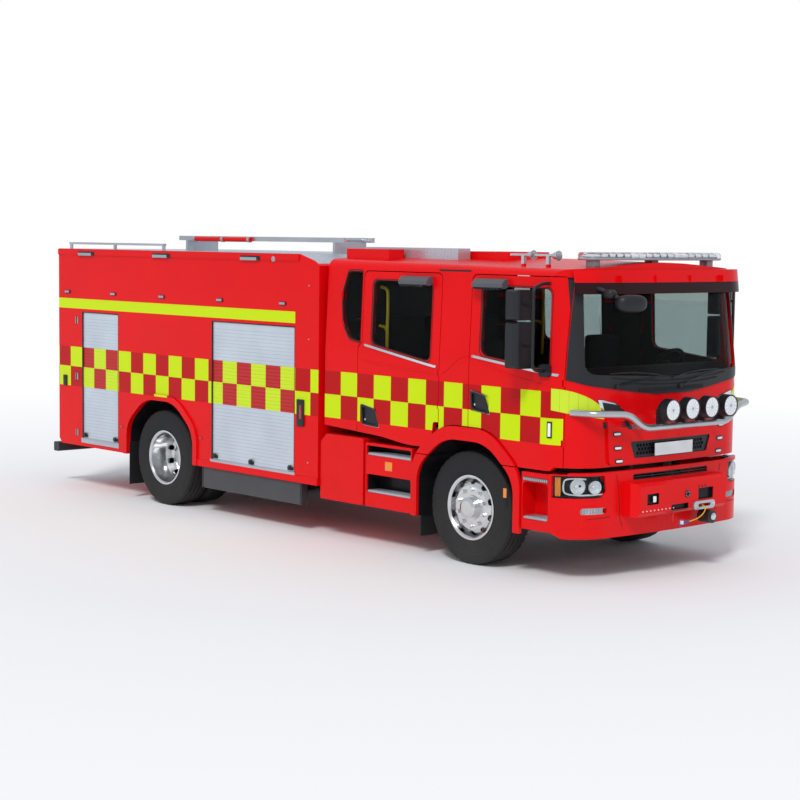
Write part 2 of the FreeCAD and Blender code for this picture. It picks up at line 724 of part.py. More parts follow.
def arch_outline(front, rear, low_z, top_z):
    """Rounded wheel arch, closed along its foot."""
    width = rear - front
    knee = top_z - ARCH_DROP_SHARE * width
    low_round = ARCH_LOW_ROUND_SHARE * width
    top_round = ARCH_TOP_ROUND_SHARE * width
    flat0 = front + ARCH_FLAT_SHARE * width
    flat1 = rear - ARCH_FLAT_SHARE * width
    return [(front, low_z), (front, knee, low_round), (flat0, top_z, top_round), (flat1, top_z, top_round),
            (rear, knee, low_round), (rear, low_z)]


def fender_outline(grow, low_z):
    """Outer edge of the front arch's flare, grown by a gap."""
    out = FENDER_FLARE + grow
    return arch_outline(FENDER_FRONT_Y - out, FENDER_REAR_Y + out, low_z, FENDER_TOP_Z + FENDER_RISE + grow)


def cab_lower_cut():
    """What lies below the lower edge of the cab's sides, and the wheel arch."""
    corner_y = CAB_FRONT_Y + 305.0
    slant = 40.0
    rear_steps = ((760.0, 1030.0), (890.0, 1040.0), (1160.0, 1075.0))
    rear_z = 1130.0
    bottom = CAB_BOTTOM_Z - SLACK * 3
    points = [(CAB_FRONT_Y - SLACK, bottom), (CAB_FRONT_Y - SLACK, CAB_BOTTOM_Z), (corner_y, CAB_BOTTOM_Z),
              (corner_y + slant, SIDE_LOW_Z), (0, SIDE_LOW_Z), (0, rear_steps[0][1])]
    points += rear_steps
    points += [(CAB_REAR_Y + SLACK, rear_z), (CAB_REAR_Y + SLACK, bottom)]
    wide = CAB_HALF + SLACK
    arch = prism_x(fender_outline(MOVE_GAP, bottom), -wide, wide)
    return prism_x(points, -wide, wide).fuse(arch)


def door_outline(name, grow):
    """Edge of a door seen from the side, grown by a gap."""
    low = SIDE_LOW_Z - SLACK * 2
    top = DOOR_TOP_Z + grow
    if name == "front":
        y0 = FRONT_DOOR_Y[0] - grow
        y1 = FRONT_DOOR_Y[1] + grow
        return [(y0, low), (y0, top, DOOR_TOP_R), (y1, top, DOOR_TOP_R), (y1, low)]
    y0 = CREW_DOOR_Y[0] - grow
    y1 = CREW_DOOR_Y[1] + grow
    upper = y1 - CREW_DOOR_STEP
    return [(y0, low), (y0, top, DOOR_TOP_R), (upper, top, DOOR_TOP_R), (upper, CREW_STEP_Z + grow, DOOR_TOP_R * 0.5),
            (y1, CREW_STEP_Z + grow - CREW_DOOR_STEP, DOOR_TOP_R * 0.5), (y1, low)]


def window_outline(name):
    """Glass opening of a door or of the rear quarter, seen from the side."""
    frame_w = 130.0
    round_r = 60.0
    if name == "front":
        front_low = 1835.0
        rear_low = 1925.0
        top = 2550.0
        y0 = FRONT_DOOR_Y[0] + frame_w
        y1 = FRONT_DOOR_Y[1] - frame_w
        return [(y0, front_low, round_r), (y0 + frame_w * 0.08, top - frame_w * 0.05, round_r), (y1, top, round_r),
                (y1, rear_low, round_r * 1.5)]
    if name == "crew":
        front_low = 1820.0
        rear_low = 1948.0
        top = 2562.0
        y0 = CREW_DOOR_Y[0] + frame_w * 0.94
        y1 = CREW_DOOR_Y[1] - CREW_DOOR_STEP - frame_w
        return [(y0, front_low, round_r), (y0, top, round_r), (y1, top, round_r), (y1, rear_low, round_r * 1.2)]
    y0 = CREW_DOOR_Y[1] - CREW_DOOR_STEP + frame_w * 0.25
    low = 1955.0
    top = 2640.0
    depth = 292.0
    return [(y0, low), (y0, top), (y0 + depth * 0.73, top, round_r), (y0 + depth, top - depth * 0.8, depth * 1.5),
            (y0 + depth * 0.9, low + depth * 0.55, depth), (y0 + depth * 0.55, low + depth * 0.1, round_r * 1.5)]


def screen_outline(grow):
    """Windscreen opening, seen from the front."""
    half_low = CAB_HALF - 165.0 + grow
    half_top = CAB_HALF - 205.0 + grow
    side_z = 1805.0 - grow
    middle_z = 1752.0 - grow
    top_z = 2600.0 + grow
    corner = 90.0
    return [(-half_low, side_z, corner), (0, middle_z, FRONT_BOW_R * 0.7), (half_low, side_z, corner),
            (half_top, top_z, corner), (-half_top, top_z, corner)]


def hinge_place(name):
    """Pin line of a door hinge on the left side: x, y and the heights of its lugs."""
    if name == "front":
        return CAB_HALF - FRONT_PIN_IN, FRONT_DOOR_Y[0] + MOVE_GAP, (1180.0, 1700.0)
    return CAB_HALF - CREW_PIN_IN, CREW_DOOR_Y[0] + MOVE_GAP, (1400.0, 1700.0)


def hinge_notches(name, side):
    """Notches in a door's leading edge, with a bore above and below each."""
    bore_over = 2.0
    x, y, heights = hinge_place(name)
    x = x * side
    cuts = []
    for z in heights:
        cuts.append(box(x - side * HINGE_NOTCH, x + side * SLACK, y - SLACK, y + HINGE_NOTCH, z, z + HINGE_H))
        reach = DOOR_PIN_L + bore_over
        cuts.append(cyl(DOOR_PIN_R + RUN_CLEARANCE, V(x, y, z - reach), V(x, y, z + HINGE_H + reach)))
    return cuts


def hinge_lugs(name, side):
    """Lugs on the pillar that stand in a door's notches, with their pins."""
    end_gap = 2.0
    root = 22.0
    x, y, heights = hinge_place(name)
    x = x * side
    pieces = []
    for z in heights:
        z0 = z + end_gap
        z1 = z + HINGE_H - end_gap
        pieces.append(box(x - HINGE_HALF, x + HINGE_HALF, y - root, y, z0, z1))
        pieces.append(cyl(HINGE_HALF, V(x, y, z0), V(x, y, z1)))
        pieces.append(cyl(DOOR_PIN_R, V(x, y, z - DOOR_PIN_L), V(x, y, z + HINGE_H + DOOR_PIN_L)))
    return pieces


def handle_pocket(name):
    """Shallow pocket behind a door's pull handle."""
    width = 235.0
    height = 190.0
    edge = 40.0
    slant = 42.0
    if name == "front":
        y1 = FRONT_DOOR_Y[1] - edge * 0.5
        z0 = 1400.0
    else:
        y1 = CREW_DOOR_Y[1] - edge
        z0 = 1160.0
    y0 = y1 - width
    corner = 25.0
    points = [(y0, z0, corner), (y1, z0 + slant * 0.5, corner), (y1, z0 + height + slant * 0.5, corner),
              (y0, z0 + height - slant * 0.5, corner)]
    return prism_x(points, -CAB_HALF - SLACK, -CAB_HALF + HANDLE_DEPTH)


def make_cab():
    """Hollow cab: roof, front, sides, back, doors and glass."""
    low = CAB_BOTTOM_Z - SLACK
    wide = CAB_HALF + SLACK
    high = ROOF_Z + SLACK
    ahead = CAB_FRONT_Y - SLACK
    behind = CAB_REAR_Y + SLACK
    crew_notch_z = 1275.0
    crew_notch_y = CREW_DOOR_Y[0] + 67.0
    notch_slant = 25.0
    outer = cab_form(0, low)
    inner = cab_form(CAB_WALL, low - SLACK, ROOF_WALL)
    shell = outer.cut(inner).cut(cab_lower_cut())
    glass_shell = cab_form(GLASS_IN, low).cut(cab_form(GLASS_IN + GLASS_T, low - SLACK))
    screen_cut = prism_y(screen_outline(0), ahead, PILLAR_Y + SLACK)
    front_zone = box(-wide, wide, ahead, PILLAR_Y, 0, high)
    back_zone = box(-wide, wide, CAB_REAR_Y - CAB_WALL, behind, 0, high)
    front = shell.common(front_zone).cut(screen_cut)
    save("cab_front", [fuse([front] + hinge_lugs("front", -1) + hinge_lugs("front", 1))])
    save("cab_back", [shell.common(back_zone)])
    roof_zone = box(-ROOF_HALF, ROOF_HALF, PILLAR_Y + SEAT_GAP, CAB_REAR_Y - CAB_WALL - SEAT_GAP, DOOR_TOP_Z, high)
    save("cab_roof", [shell.common(roof_zone)])
    side_zone = box(-wide, -ROOF_HALF - SEAT_GAP, PILLAR_Y, CAB_REAR_Y - CAB_WALL, 0, high)
    wall = shell.common(side_zone)
    x0 = -wide
    x1 = -ROOF_HALF + SLACK
    cuts = [prism_x(door_outline(name, MOVE_GAP), x0, x1) for name in ("front", "crew")]
    quarter_cut = prism_x(window_outline("quarter"), x0, x1)
    save("cab_sides", both_sides(fuse([wall.cut(cuts + [quarter_cut])] + hinge_lugs("crew", -1))))
    save("cab_glass", [glass_shell.common(screen_cut)] + both_sides(glass_shell.common(quarter_cut)))
    for name in ("front", "crew"):
        window_cut = prism_x(window_outline(name), x0, x1)
        panel = wall.common(prism_x(door_outline(name, 0), x0, x1)).cut([window_cut, handle_pocket(name)])
        panel = panel.cut(hinge_notches(name, -1))
        if name == "crew":
            corner = ((0, 0), (0, crew_notch_z), (crew_notch_y, crew_notch_z, notch_slant),
                      (crew_notch_y + notch_slant, crew_notch_z - SLACK), (crew_notch_y + notch_slant, 0))
            panel = panel.cut(prism_x(corner, x0, x1))
        glass = glass_shell.common(window_cut)
        save("door_" + name + "_right", [panel])
        save("glass_" + name + "_right", [glass])
        save("door_" + name + "_left", [mirrored(panel)])
        save("glass_" + name + "_left", [mirrored(glass)])


def screen_surround():
    """Black skin round the windscreen, from pillar to pillar, with a swooping lower edge."""
    middle_z = 1615.0
    inner_z = 1650.0
    outer_z = 1712.0
    corner_z = 1780.0
    middle_x = CAB_HALF * 0.2
    inner_x = CAB_HALF * 0.45
    outer_x = CAB_HALF * 0.83
    top_z = EAVE_Z - 40.0
    wide = CAB_HALF + SLACK
    low = CAB_BOTTOM_Z - SLACK
    bend = CORNER_R * 1.5
    skin = cab_form(-SKIN_T, low).cut(cab_form(-SEAT_GAP, low - SLACK))
    points = [(-wide, corner_z), (-CAB_HALF, corner_z), (-outer_x, outer_z, bend), (-inner_x, inner_z, bend),
              (-middle_x, middle_z, bend), (middle_x, middle_z, bend), (inner_x, inner_z, bend), (outer_x, outer_z, bend),
              (CAB_HALF, corner_z), (wide, corner_z), (wide, top_z), (-wide, top_z)]
    outline = prism_y(points, CAB_FRONT_Y - SLACK, PILLAR_Y - MOVE_GAP)
    hole = prism_y(screen_outline(-MOVE_GAP), CAB_FRONT_Y - SLACK, PILLAR_Y)
    return skin.common(outline).cut(hole)


def tilt_arm(x0):
    """Arm under the cab floor that holds the tilting pin."""
    lift = 70.0
    back = PILLAR_Y + 60.0
    web = 70.0
    points = ((TILT_Y, TILT_Z - TILT_ARM_R), (back, TILT_Z + lift), (back, FLOOR_LOW_Z + WELD),
              (back - web, FLOOR_LOW_Z + WELD), (back - web, TILT_Z + lift + TILT_ARM_T), (TILT_Y, TILT_Z + TILT_ARM_R))
    arm = prism_x(points, x0, x0 + TILT_ARM_T)
    eye = cyl(TILT_ARM_R, V(x0, TILT_Y, TILT_Z), V(x0 + TILT_ARM_T, TILT_Y, TILT_Z))
    return [arm, eye]


SEAT_X = 720.0
SEAT_BASE_Z = 1490.0
SEAT_HALF = 240.0
SEAT_FRONT_Y = -470.0
SEAT_BACK_Y = 45.0
BENCH_Z = 1560.0
BENCH_HALF = CAB_HALF - 135.0
BENCH_FRONT_Y = CAB_REAR_Y - 640.0
BENCH_BACK_Y = CAB_REAR_Y - 190.0


def cab_floor():
    """Floor with the engine tunnel, the seat boxes and the tilting arms."""
    side_x = CAB_HALF - CAB_WALL - MOVE_GAP
    wall_y = CAB_REAR_Y - CAB_WALL - SEAT_GAP
    tunnel_half = 360.0
    tunnel_top = 1400.0
    tunnel_t = 30.0
    tunnel_y = (ENGINE_FRONT_Y - 80.0, ENGINE_FRONT_Y + ENGINE_LENGTH + 120.0)
    box_half = SEAT_HALF - 30.0
    box_y = (SEAT_FRONT_Y + 50.0, SEAT_BACK_Y + 15.0)
    bench_in = 60.0
    plate = box(-side_x, side_x, PILLAR_Y, wall_y, FLOOR_LOW_Z, FLOOR_TOP_Z)
    plate = plate.common(cab_form(CAB_WALL + MOVE_GAP, CAB_BOTTOM_Z - SLACK))
    hinge_x, hinge_y, heights = hinge_place("front")
    for side in (-1, 1):
        foot = V(side * hinge_x, hinge_y, 0)
        plate = plate.cut(cyl(DOOR_SWEEP_R, foot, foot + V(0, 0, ROOF_Z)))
    pieces = [plate, box(-tunnel_half - tunnel_t, tunnel_half + tunnel_t, tunnel_y[0] - tunnel_t, tunnel_y[1] + tunnel_t,
                         FLOOR_LOW_Z, tunnel_top + tunnel_t)]
    hollow = box(-tunnel_half, tunnel_half, tunnel_y[0], tunnel_y[1], FLOOR_LOW_Z - SLACK, tunnel_top)
    pins = []
    for side in (-1, 1):
        x = side * SEAT_X
        pieces.append(box(x - box_half, x + box_half, box_y[0], box_y[1], FLOOR_TOP_Z - WELD, SEAT_BASE_Z))
        x0 = side * TILT_ARM_X - TILT_ARM_T / 2
        pieces += tilt_arm(x0)
        pins.append(cyl(TILT_PIN_R + RUN_CLEARANCE, V(x0 - TILT_ARM_T, TILT_Y, TILT_Z),
                        V(x0 + TILT_ARM_T * 2, TILT_Y, TILT_Z)))
    pieces.append(box(-BENCH_HALF, BENCH_HALF, BENCH_FRONT_Y + bench_in, wall_y, FLOOR_TOP_Z - WELD, BENCH_Z))
    return fuse(pieces).cut(hollow).cut(pins)


def make_seats():
    """Cushions and backs of the two front seats and of the bench's four places."""
    cushion_t = 120.0
    back_t = 120.0
    back_top = 2060.0
    bench_t = 100.0
    bench_top = 2180.0
    place_w = BENCH_HALF / 2
    place_gap = 30.0
    seats = []
    base = SEAT_BASE_Z + SEAT_GAP
    for side in (-1, 1):
        x0 = side * SEAT_X - SEAT_HALF
        x1 = side * SEAT_X + SEAT_HALF
        seats.append(box(x0, x1, SEAT_FRONT_Y, SEAT_BACK_Y - SEAT_GAP, base, base + cushion_t))
        seats.append(box(x0, x1, SEAT_BACK_Y, SEAT_BACK_Y + back_t, base, back_top))
    wall_y = CAB_REAR_Y - CAB_WALL - SEAT_GAP * 2
    base = BENCH_Z + SEAT_GAP
    for i in range(4):
        x0 = -BENCH_HALF + i * place_w + place_gap / 2
        x1 = x0 + place_w - place_gap
        seats.append(box(x0, x1, BENCH_FRONT_Y, BENCH_BACK_Y - SEAT_GAP, base, base + bench_t))
        seats.append(box(x0, x1, BENCH_BACK_Y, wall_y, base, bench_top))
    return seats


def dashboard():
    """Dashboard with the steering column and wheel."""
    half = CAB_HALF - 155.0
    low_z = 1300.0
    knee_z = 1560.0
    top_z = 1850.0
    lip_z = 1800.0
    front_z = 1740.0
    round_r = 45.0
    wheel_r = 205.0
    rim_r = 17.0
    column_r = 32.0
    column_l = 330.0
    hub_r = 60.0
    hub_h = 15.0
    spoke_r = 12.0
    points = [(PILLAR_Y - 120.0, low_z), (PILLAR_Y + 60.0, low_z), (PILLAR_Y + 160.0, knee_z, round_r),
              (PILLAR_Y + 200.0, lip_z, round_r), (PILLAR_Y + 60.0, top_z, round_r), (PILLAR_Y - 130.0, front_z)]
    dash = prism_x(points, -half, half).common(cab_form(CAB_WALL + SEAT_GAP, CAB_BOTTOM_Z))
    centre = V(SEAT_X - 100.0, PILLAR_Y + 380.0, 1800.0)
    lean = V(0, -0.62, -0.55).normalize()
    pieces = [dash, Part.makeTorus(wheel_r, rim_r, centre, lean), cyl(column_r, centre, centre + lean * column_l),
              cyl(hub_r, centre - lean * hub_h, centre + lean * hub_h * 2)]
    for side in (-1, 1):
        pieces.append(cyl(spoke_r, centre, centre + V(side * wheel_r, 0, 0)))
    return fuse(pieces)


# Front end

def front_band(inset0, inset1, z0, z1):
    """Curved plate that follows the cab front between two insets."""
    far = CAB_FRONT_Y + CORNER_R + SLACK
    outer = Part.Face(cab_plan(inset0, z0, far)).extrude(V(0, 0, z1 - z0))
    inner = Part.Face(cab_plan(inset1, z0, far + SLACK)).extrude(V(0, 0, z1 - z0))
    return outer.cut(inner)


LAMP_LOW_Z = 740.0
LAMP_TOP_Z = 935.0
LAMP_INNER_X = CAB_HALF - 375.0
LAMP_REAR_Y = CAB_FRONT_Y + 300.0
FOG_X = (CAB_HALF - 385.0, CAB_HALF - 140.0)
FOG_Z = (598.0, 655.0)
LOWER_GRILLE_HALF = 515.0
LOWER_GRILLE_Z = (870.0, 925.0)


def lamp_outline(side, grow):
    """Front view of a headlamp, pointed towards the middle."""
    x_out = side * (CAB_HALF + SLACK)
    x_in = side * (LAMP_INNER_X - grow)
    slant = 55.0
    return [(x_out, LAMP_LOW_Z - grow), (x_in + side * slant, LAMP_LOW_Z - grow), (x_in, LAMP_LOW_Z + slant - grow),
            (x_in + side * slant * 0.4, LAMP_TOP_Z + grow), (x_out, LAMP_TOP_Z + grow)]


def bumper():
    """Curved bumper with lamp pockets, fog lamp pockets and the lower grille's opening."""
    side_end = CAB_FRONT_Y + 320.0
    side_cut_y = CAB_FRONT_Y + 175.0
    bracket_in = 60.0
    bracket_z = (690.0, 735.0)
    chin = 55.0
    wide = CAB_HALF + SLACK
    front_y = CAB_FRONT_Y - SLACK
    band = front_band(-BUMPER_OUT, BUMPER_T, BUMPER_LOW_Z, BUMPER_TOP_Z)
    cuts = [box(-wide, wide, side_end, SLACK, 0, ROOF_Z), box(-wide, wide, side_cut_y, SLACK, BUMPER_SIDE_TOP_Z, ROOF_Z)]
    for side in (-1, 1):
        cuts.append(prism_y(lamp_outline(side, 0), front_y, LAMP_REAR_Y))
        fog = rounded_box_points(side * FOG_X[0], side * FOG_X[1], FOG_Z[0], FOG_Z[1], (FOG_Z[1] - FOG_Z[0]) * 0.4)
        cuts.append(prism_y(fog, front_y, side_cut_y))
        cuts.append(prism_x(((side_end - chin * 2, 0), (side_end - chin * 2, BUMPER_LOW_Z), (side_end, BUMPER_LOW_Z + chin),
                             (side_end + chin, 0)), side * (CAB_HALF - CORNER_R), side * wide))
    grille = rounded_box_points(-LOWER_GRILLE_HALF, LOWER_GRILLE_HALF, LOWER_GRILLE_Z[0], LOWER_GRILLE_Z[1],
                                (LOWER_GRILLE_Z[1] - LOWER_GRILLE_Z[0]) * 0.35)
    cuts.append(prism_y(grille, front_y, CAB_FRONT_Y + CAB_WALL + BUMPER_T))
    bracket = box(-RAIL_HALF, -RAIL_HALF + bracket_in, CAB_FRONT_Y + BUMPER_T / 2, RAIL_FRONT_Y - SEAT_GAP, bracket_z[0],
                  bracket_z[1])
    return fuse([band.cut(cuts)] + both_sides(bracket))


def winch_beam():
    """Box beam ahead of the bumper with slanted ends, a lamp recess, a socket and the rope's slot."""
    end_slant = 40.0
    lip = 30.0
    wide = CAB_HALF
    lamp_x = (-500.0, -340.0)
    lamp_z = (662.0, 760.0)
    lamp_depth = 30.0
    recess_x = (205.0, 415.0)
    recess_z = (655.0, 758.0)
    socket = (50.0, 722.0)
    socket_r = 30.0
    vent_x = (-170.0, 70.0)
    vent_z = (590.0, 640.0)
    slot_x = (188.0, 348.0)
    slot_z = (590.0, 622.0)
    round_r = 8.0
    profile = [(WINCH_Y + lip, WINCH_LOW_Z), (WINCH_Y, WINCH_LOW_Z + lip), (WINCH_Y, WINCH_TOP_Z - lip),
               (WINCH_Y + lip, WINCH_TOP_Z), (CAB_FRONT_Y, WINCH_TOP_Z), (CAB_FRONT_Y, WINCH_LOW_Z)]
    beam = prism_x(profile, -WINCH_HALF, WINCH_HALF)
    plan = [(-WINCH_HALF, CAB_FRONT_Y + SLACK), (-WINCH_HALF, WINCH_Y + end_slant * 2),
            (-WINCH_HALF + end_slant, WINCH_Y - WELD), (WINCH_HALF - end_slant, WINCH_Y - WELD),
            (WINCH_HALF, WINCH_Y + end_slant * 2), (WINCH_HALF, CAB_FRONT_Y + SLACK)]
    beam = beam.common(prism_z(plan, 0, ROOF_Z))
    beam = beam.cut(Part.Face(cab_plan(-BUMPER_OUT - SEAT_GAP, 0, wide)).extrude(V(0, 0, ROOF_Z)))
    far = WINCH_Y - SLACK
    cuts = [prism_y(rounded_box_points(x[0], x[1], z[0], z[1], round_r), far, WINCH_Y + lamp_depth)
            for x, z in ((lamp_x, lamp_z), (recess_x, recess_z), (vent_x, vent_z))]
    cuts.append(cyl(socket_r, V(socket[0], far, socket[1]), V(socket[0], WINCH_Y + lamp_depth, socket[1])))
    cuts.append(box(slot_x[0], slot_x[1], far, ROPE_ROUTE[0][1], slot_z[0], slot_z[1]))
    return beam.cut(cuts)


def headlamps():
    """Lamp bodies that fill the bumper's pockets, and the fog lamps under them."""
    depth = 90.0
    fog_depth = 60.0
    proud = 10.0
    lamps = []
    zone = front_band(-BUMPER_OUT + proud, depth, LAMP_LOW_Z - SLACK, LAMP_TOP_Z + SLACK)
    fog_zone = front_band(-BUMPER_OUT + proud, fog_depth, FOG_Z[0], FOG_Z[1])
    for side in (-1, 1):
        lamps.append(zone.common(prism_y(lamp_outline(side, -SEAT_GAP), CAB_FRONT_Y - SLACK, LAMP_REAR_Y - SEAT_GAP)))
        fog = rounded_box_points(side * (FOG_X[0] + SEAT_GAP), side * (FOG_X[1] - SEAT_GAP), FOG_Z[0] + SEAT_GAP,
                                 FOG_Z[1] - SEAT_GAP, (FOG_Z[1] - FOG_Z[0]) * 0.4)
        lamps.append(fog_zone.common(prism_y(fog, CAB_FRONT_Y - SLACK, CAB_FRONT_Y + SLACK)))
    return lamps


def fairlead():
    """Rounded plate with the slot that the winch rope leaves by."""
    x = ROPE_ROUTE[0][0] + 18.0
    z = ROPE_ROUTE[0][2]
    half = 150.0
    half_h = 38.0
    mouth_half = 85.0
    mouth_h = 14.0
    plate_t = 22.0
    plate = prism_y(rounded_box_points(x - half, x + half, z - half_h, z + half_h, half_h * 0.9), WINCH_Y - plate_t,
                    WINCH_Y - SEAT_GAP)
    mouth = prism_y(rounded_box_points(x - mouth_half, x + mouth_half, z - mouth_h, z + mouth_h, mouth_h * 0.9),
                    WINCH_Y - SLACK, WINCH_Y + SLACK)
    return plate.cut(mouth)


def beam_roller():
    """Black roller with a hub under the beam."""
    x = 345.0
    z = 493.0
    roller_r = 60.0
    hub_r = 24.0
    roller_y = (WINCH_Y - 55.0, WINCH_Y + 75.0)
    hub_out = 8.0
    strap_half = 20.0
    roller = cyl(roller_r, V(x, roller_y[0], z), V(x, roller_y[1], z))
    hub = cyl(hub_r, V(x, roller_y[0] - hub_out, z), V(x, roller_y[1], z))
    strap = box(x - strap_half, x + strap_half, WINCH_Y + 35.0, WINCH_Y + 65.0, z, WINCH_LOW_Z - SEAT_GAP)
    return fuse([roller, hub, strap])


def rope_end():
    """Where the rope ends and which way it points there."""
    end = V(*ROPE_ROUTE[-1])
    way = end.sub(V(*ROPE_ROUTE[-2])).normalize()
    return end, way


def beam_hook():
    """Hook of round bar under the beam, which holds the rope's eye."""
    tip_rise = 34.0
    tip_out = 24.0
    end, way = rope_end()
    near = end + way * KNOT_L
    x = near.x - EYE_REACH - EYE_R + EYE_WIRE_R + HOOK_R + SEAT_GAP
    z = near.z
    root_y = WINCH_Y + 35.0
    tip_y = near.y - tip_out
    shank = cyl(HOOK_R, V(x, root_y, z), V(x, root_y, WINCH_LOW_Z - SEAT_GAP))
    bar = cyl(HOOK_R, V(x, root_y, z), V(x, tip_y, z))
    tip = cyl(HOOK_R, V(x, tip_y, z), V(x, tip_y, z + tip_rise))
    return fuse([shank, bar, tip] + [ball(HOOK_R, V(x, y, z)) for y in (root_y, tip_y)])


def rope_eye():
    """Teardrop loop at the rope's end, hung over the hook under the beam."""
    reach = 3
    end, way = rope_end()
    near = end + way * KNOT_L
    centre = near - V(EYE_REACH, 0, 0)
    lean = math.asin(EYE_R / EYE_REACH)
    rise = V(EYE_R * math.sin(lean), 0, EYE_R * math.cos(lean))
    fall = V(rise.x, 0, -rise.z)
    ring = Part.makeTorus(EYE_R, EYE_WIRE_R, centre, V(0, 1, 0))
    corners = (centre, centre + rise * reach, centre + V(SLACK, 0, SLACK), centre + V(SLACK, 0, -SLACK),
               centre + fall * reach)
    ring = ring.cut(prism_y([(p.x, p.z) for p in corners], near.y - SLACK, near.y + SLACK))
    knot = cyl(KNOT_R, near, end)
    legs = [cyl(EYE_WIRE_R, near, centre + rise), cyl(EYE_WIRE_R, near, centre + fall)]
    return fuse([ring, knot, ball(EYE_WIRE_R, near)] + legs)


HATCH_Z = (1015.0, 1442.0)
HATCH_HALF = CAB_HALF - 380.0
GRILLE_Z = (1062.0, 1212.0)
GRILLE_HALF = 558.0
GRILLE_TAPER = 60.0
GRILLE_OUT = 12.0
PLATE_W = 520.0
PLATE_H = 110.0
PLATE_Z = 1072.0
PLATE_OUT = 44.0


def grille_outline(grow):
    """Front view of the upper grille, narrower at the bottom."""
    corner = 18.0
    half = GRILLE_HALF + grow
    low_half = half - GRILLE_TAPER
    return [(-low_half, GRILLE_Z[0] - grow, corner), (low_half, GRILLE_Z[0] - grow, corner),
            (half, GRILLE_Z[1] + grow, corner), (-half, GRILLE_Z[1] + grow, corner)]


def grille_hatch():
    """Front hatch of the cab with the upper grille's opening."""
    corner = 45.0
    taper = 30.0
    band = front_band(-HATCH_OUT, -SEAT_GAP, HATCH_Z[0], HATCH_Z[1])
    outline = [(-HATCH_HALF + taper, HATCH_Z[0], corner), (HATCH_HALF - taper, HATCH_Z[0], corner),
               (HATCH_HALF, HATCH_Z[1], corner), (-HATCH_HALF, HATCH_Z[1], corner)]
    hatch = band.common(prism_y(outline, CAB_FRONT_Y - SLACK, CAB_FRONT_Y + CORNER_R))
    return hatch.cut(prism_y(grille_outline(0), CAB_FRONT_Y - SLACK, CAB_FRONT_Y + SLACK))


def honeycomb(plate, half, z0, z1, cell, wall):
    """Cuts rows of six-sided holes through a plate that faces forward."""
    pitch_x = cell * math.sqrt(3) / 2
    pitch_z = cell * 0.75
    hole_r = (cell - wall) / 2
    rows = int((z1 - z0) / pitch_z)
    columns = int(2 * half / pitch_x)
    start_z = (z0 + z1) / 2 - (rows - 1) * pitch_z / 2
    holes = []
    for row in range(rows):
        shift = pitch_x / 4 if row % 2 else -pitch_x / 4
        z = start_z + row * pitch_z
        for column in range(columns):
            x = (column - (columns - 1) / 2) * pitch_x + shift
            points = []
            for k in range(6):
                turn = math.pi * (k + 0.5) / 3
                points.append((x + hole_r * math.cos(turn), z + hole_r * math.sin(turn)))
            holes.append(prism_y(points, CAB_FRONT_Y - SLACK, CAB_FRONT_Y + SLACK))
    return plate.cut(holes)


def grille_mesh():
    """Honeycomb insert of the upper grille with a plain rim."""
    cell = 46.0
    wall = 9.0
    depth = 6.0
    rim_in = 22.0
    band = front_band(-GRILLE_OUT, -GRILLE_OUT + depth, GRILLE_Z[0], GRILLE_Z[1])
    plate = band.common(prism_y(grille_outline(-SEAT_GAP), CAB_FRONT_Y - SLACK, CAB_FRONT_Y + SLACK))
    mesh = honeycomb(plate, GRILLE_HALF - GRILLE_TAPER - rim_in, GRILLE_Z[0] + rim_in / 2, GRILLE_Z[1] - rim_in / 2,
                     cell, wall)
    frame = front_band(-GRILLE_OUT - depth, -SEAT_GAP, GRILLE_Z[0], GRILLE_Z[1])
    frame = frame.common(prism_y(grille_outline(-SEAT_GAP), CAB_FRONT_Y - SLACK, CAB_FRONT_Y + SLACK))
    frame = frame.cut(prism_y(grille_outline(-depth), CAB_FRONT_Y - SLACK, CAB_FRONT_Y + SLACK))
    return fuse([mesh, frame])


def lower_grille():
    """Slatted insert of the bumper's opening."""
    slat_h = 9.0
    count = 3
    depth = 25.0
    rib_half = 6.0
    z0 = LOWER_GRILLE_Z[0] + SEAT_GAP
    z1 = LOWER_GRILLE_Z[1] - SEAT_GAP
    half = LOWER_GRILLE_HALF - SEAT_GAP
    pitch = (z1 - z0 - slat_h) / (count - 1)
    pieces = []
    for i in range(count):
        low = z0 + i * pitch
        band = front_band(-BUMPER_OUT + depth * 0.3, -BUMPER_OUT + depth, low, low + slat_h)
        pieces.append(band.common(box(-half, half, CAB_FRONT_Y - SLACK, CAB_FRONT_Y + SLACK, z0, z1)))
    ribs = front_band(-BUMPER_OUT + depth * 0.5, -BUMPER_OUT + depth, z0, z1)
    for share in (-1.0, -0.5, 0.0, 0.5, 1.0):
        x = share * (half - rib_half)
        pieces.append(ribs.common(box(x - rib_half, x + rib_half, CAB_FRONT_Y - SLACK, CAB_FRONT_Y + SLACK, z0, z1)))
    return fuse(pieces).common(prism_y(rounded_box_points(-half, half, z0, z1, (LOWER_GRILLE_Z[1] - LOWER_GRILLE_Z[0]) * 0.35), CAB_FRONT_Y - SLACK,
                                       CAB_FRONT_Y + SLACK))


def number_plate():
    """Blank plate on its holder, across the upper grille."""
    plate_t = 6.0
    holder_in = 90.0
    y0 = CAB_FRONT_Y - PLATE_OUT
    face = box(-PLATE_W / 2, PLATE_W / 2, y0, y0 + plate_t, PLATE_Z, PLATE_Z + PLATE_H)
    arms = []
    for side in (-1, 1):
        x = side * (PLATE_W / 2 - holder_in)
        z = GRILLE_Z[0] + holder_in * 0.15
        arms.append(box(x - plate_t * 2, x + plate_t * 2, y0 + plate_t - WELD, CAB_FRONT_Y, z, z + holder_in * 0.5))
    skin = Part.Face(cab_plan(-GRILLE_OUT - SEAT_GAP, 0, 0)).extrude(V(0, 0, ROOF_Z))
    return fuse([face] + arms).cut(skin)


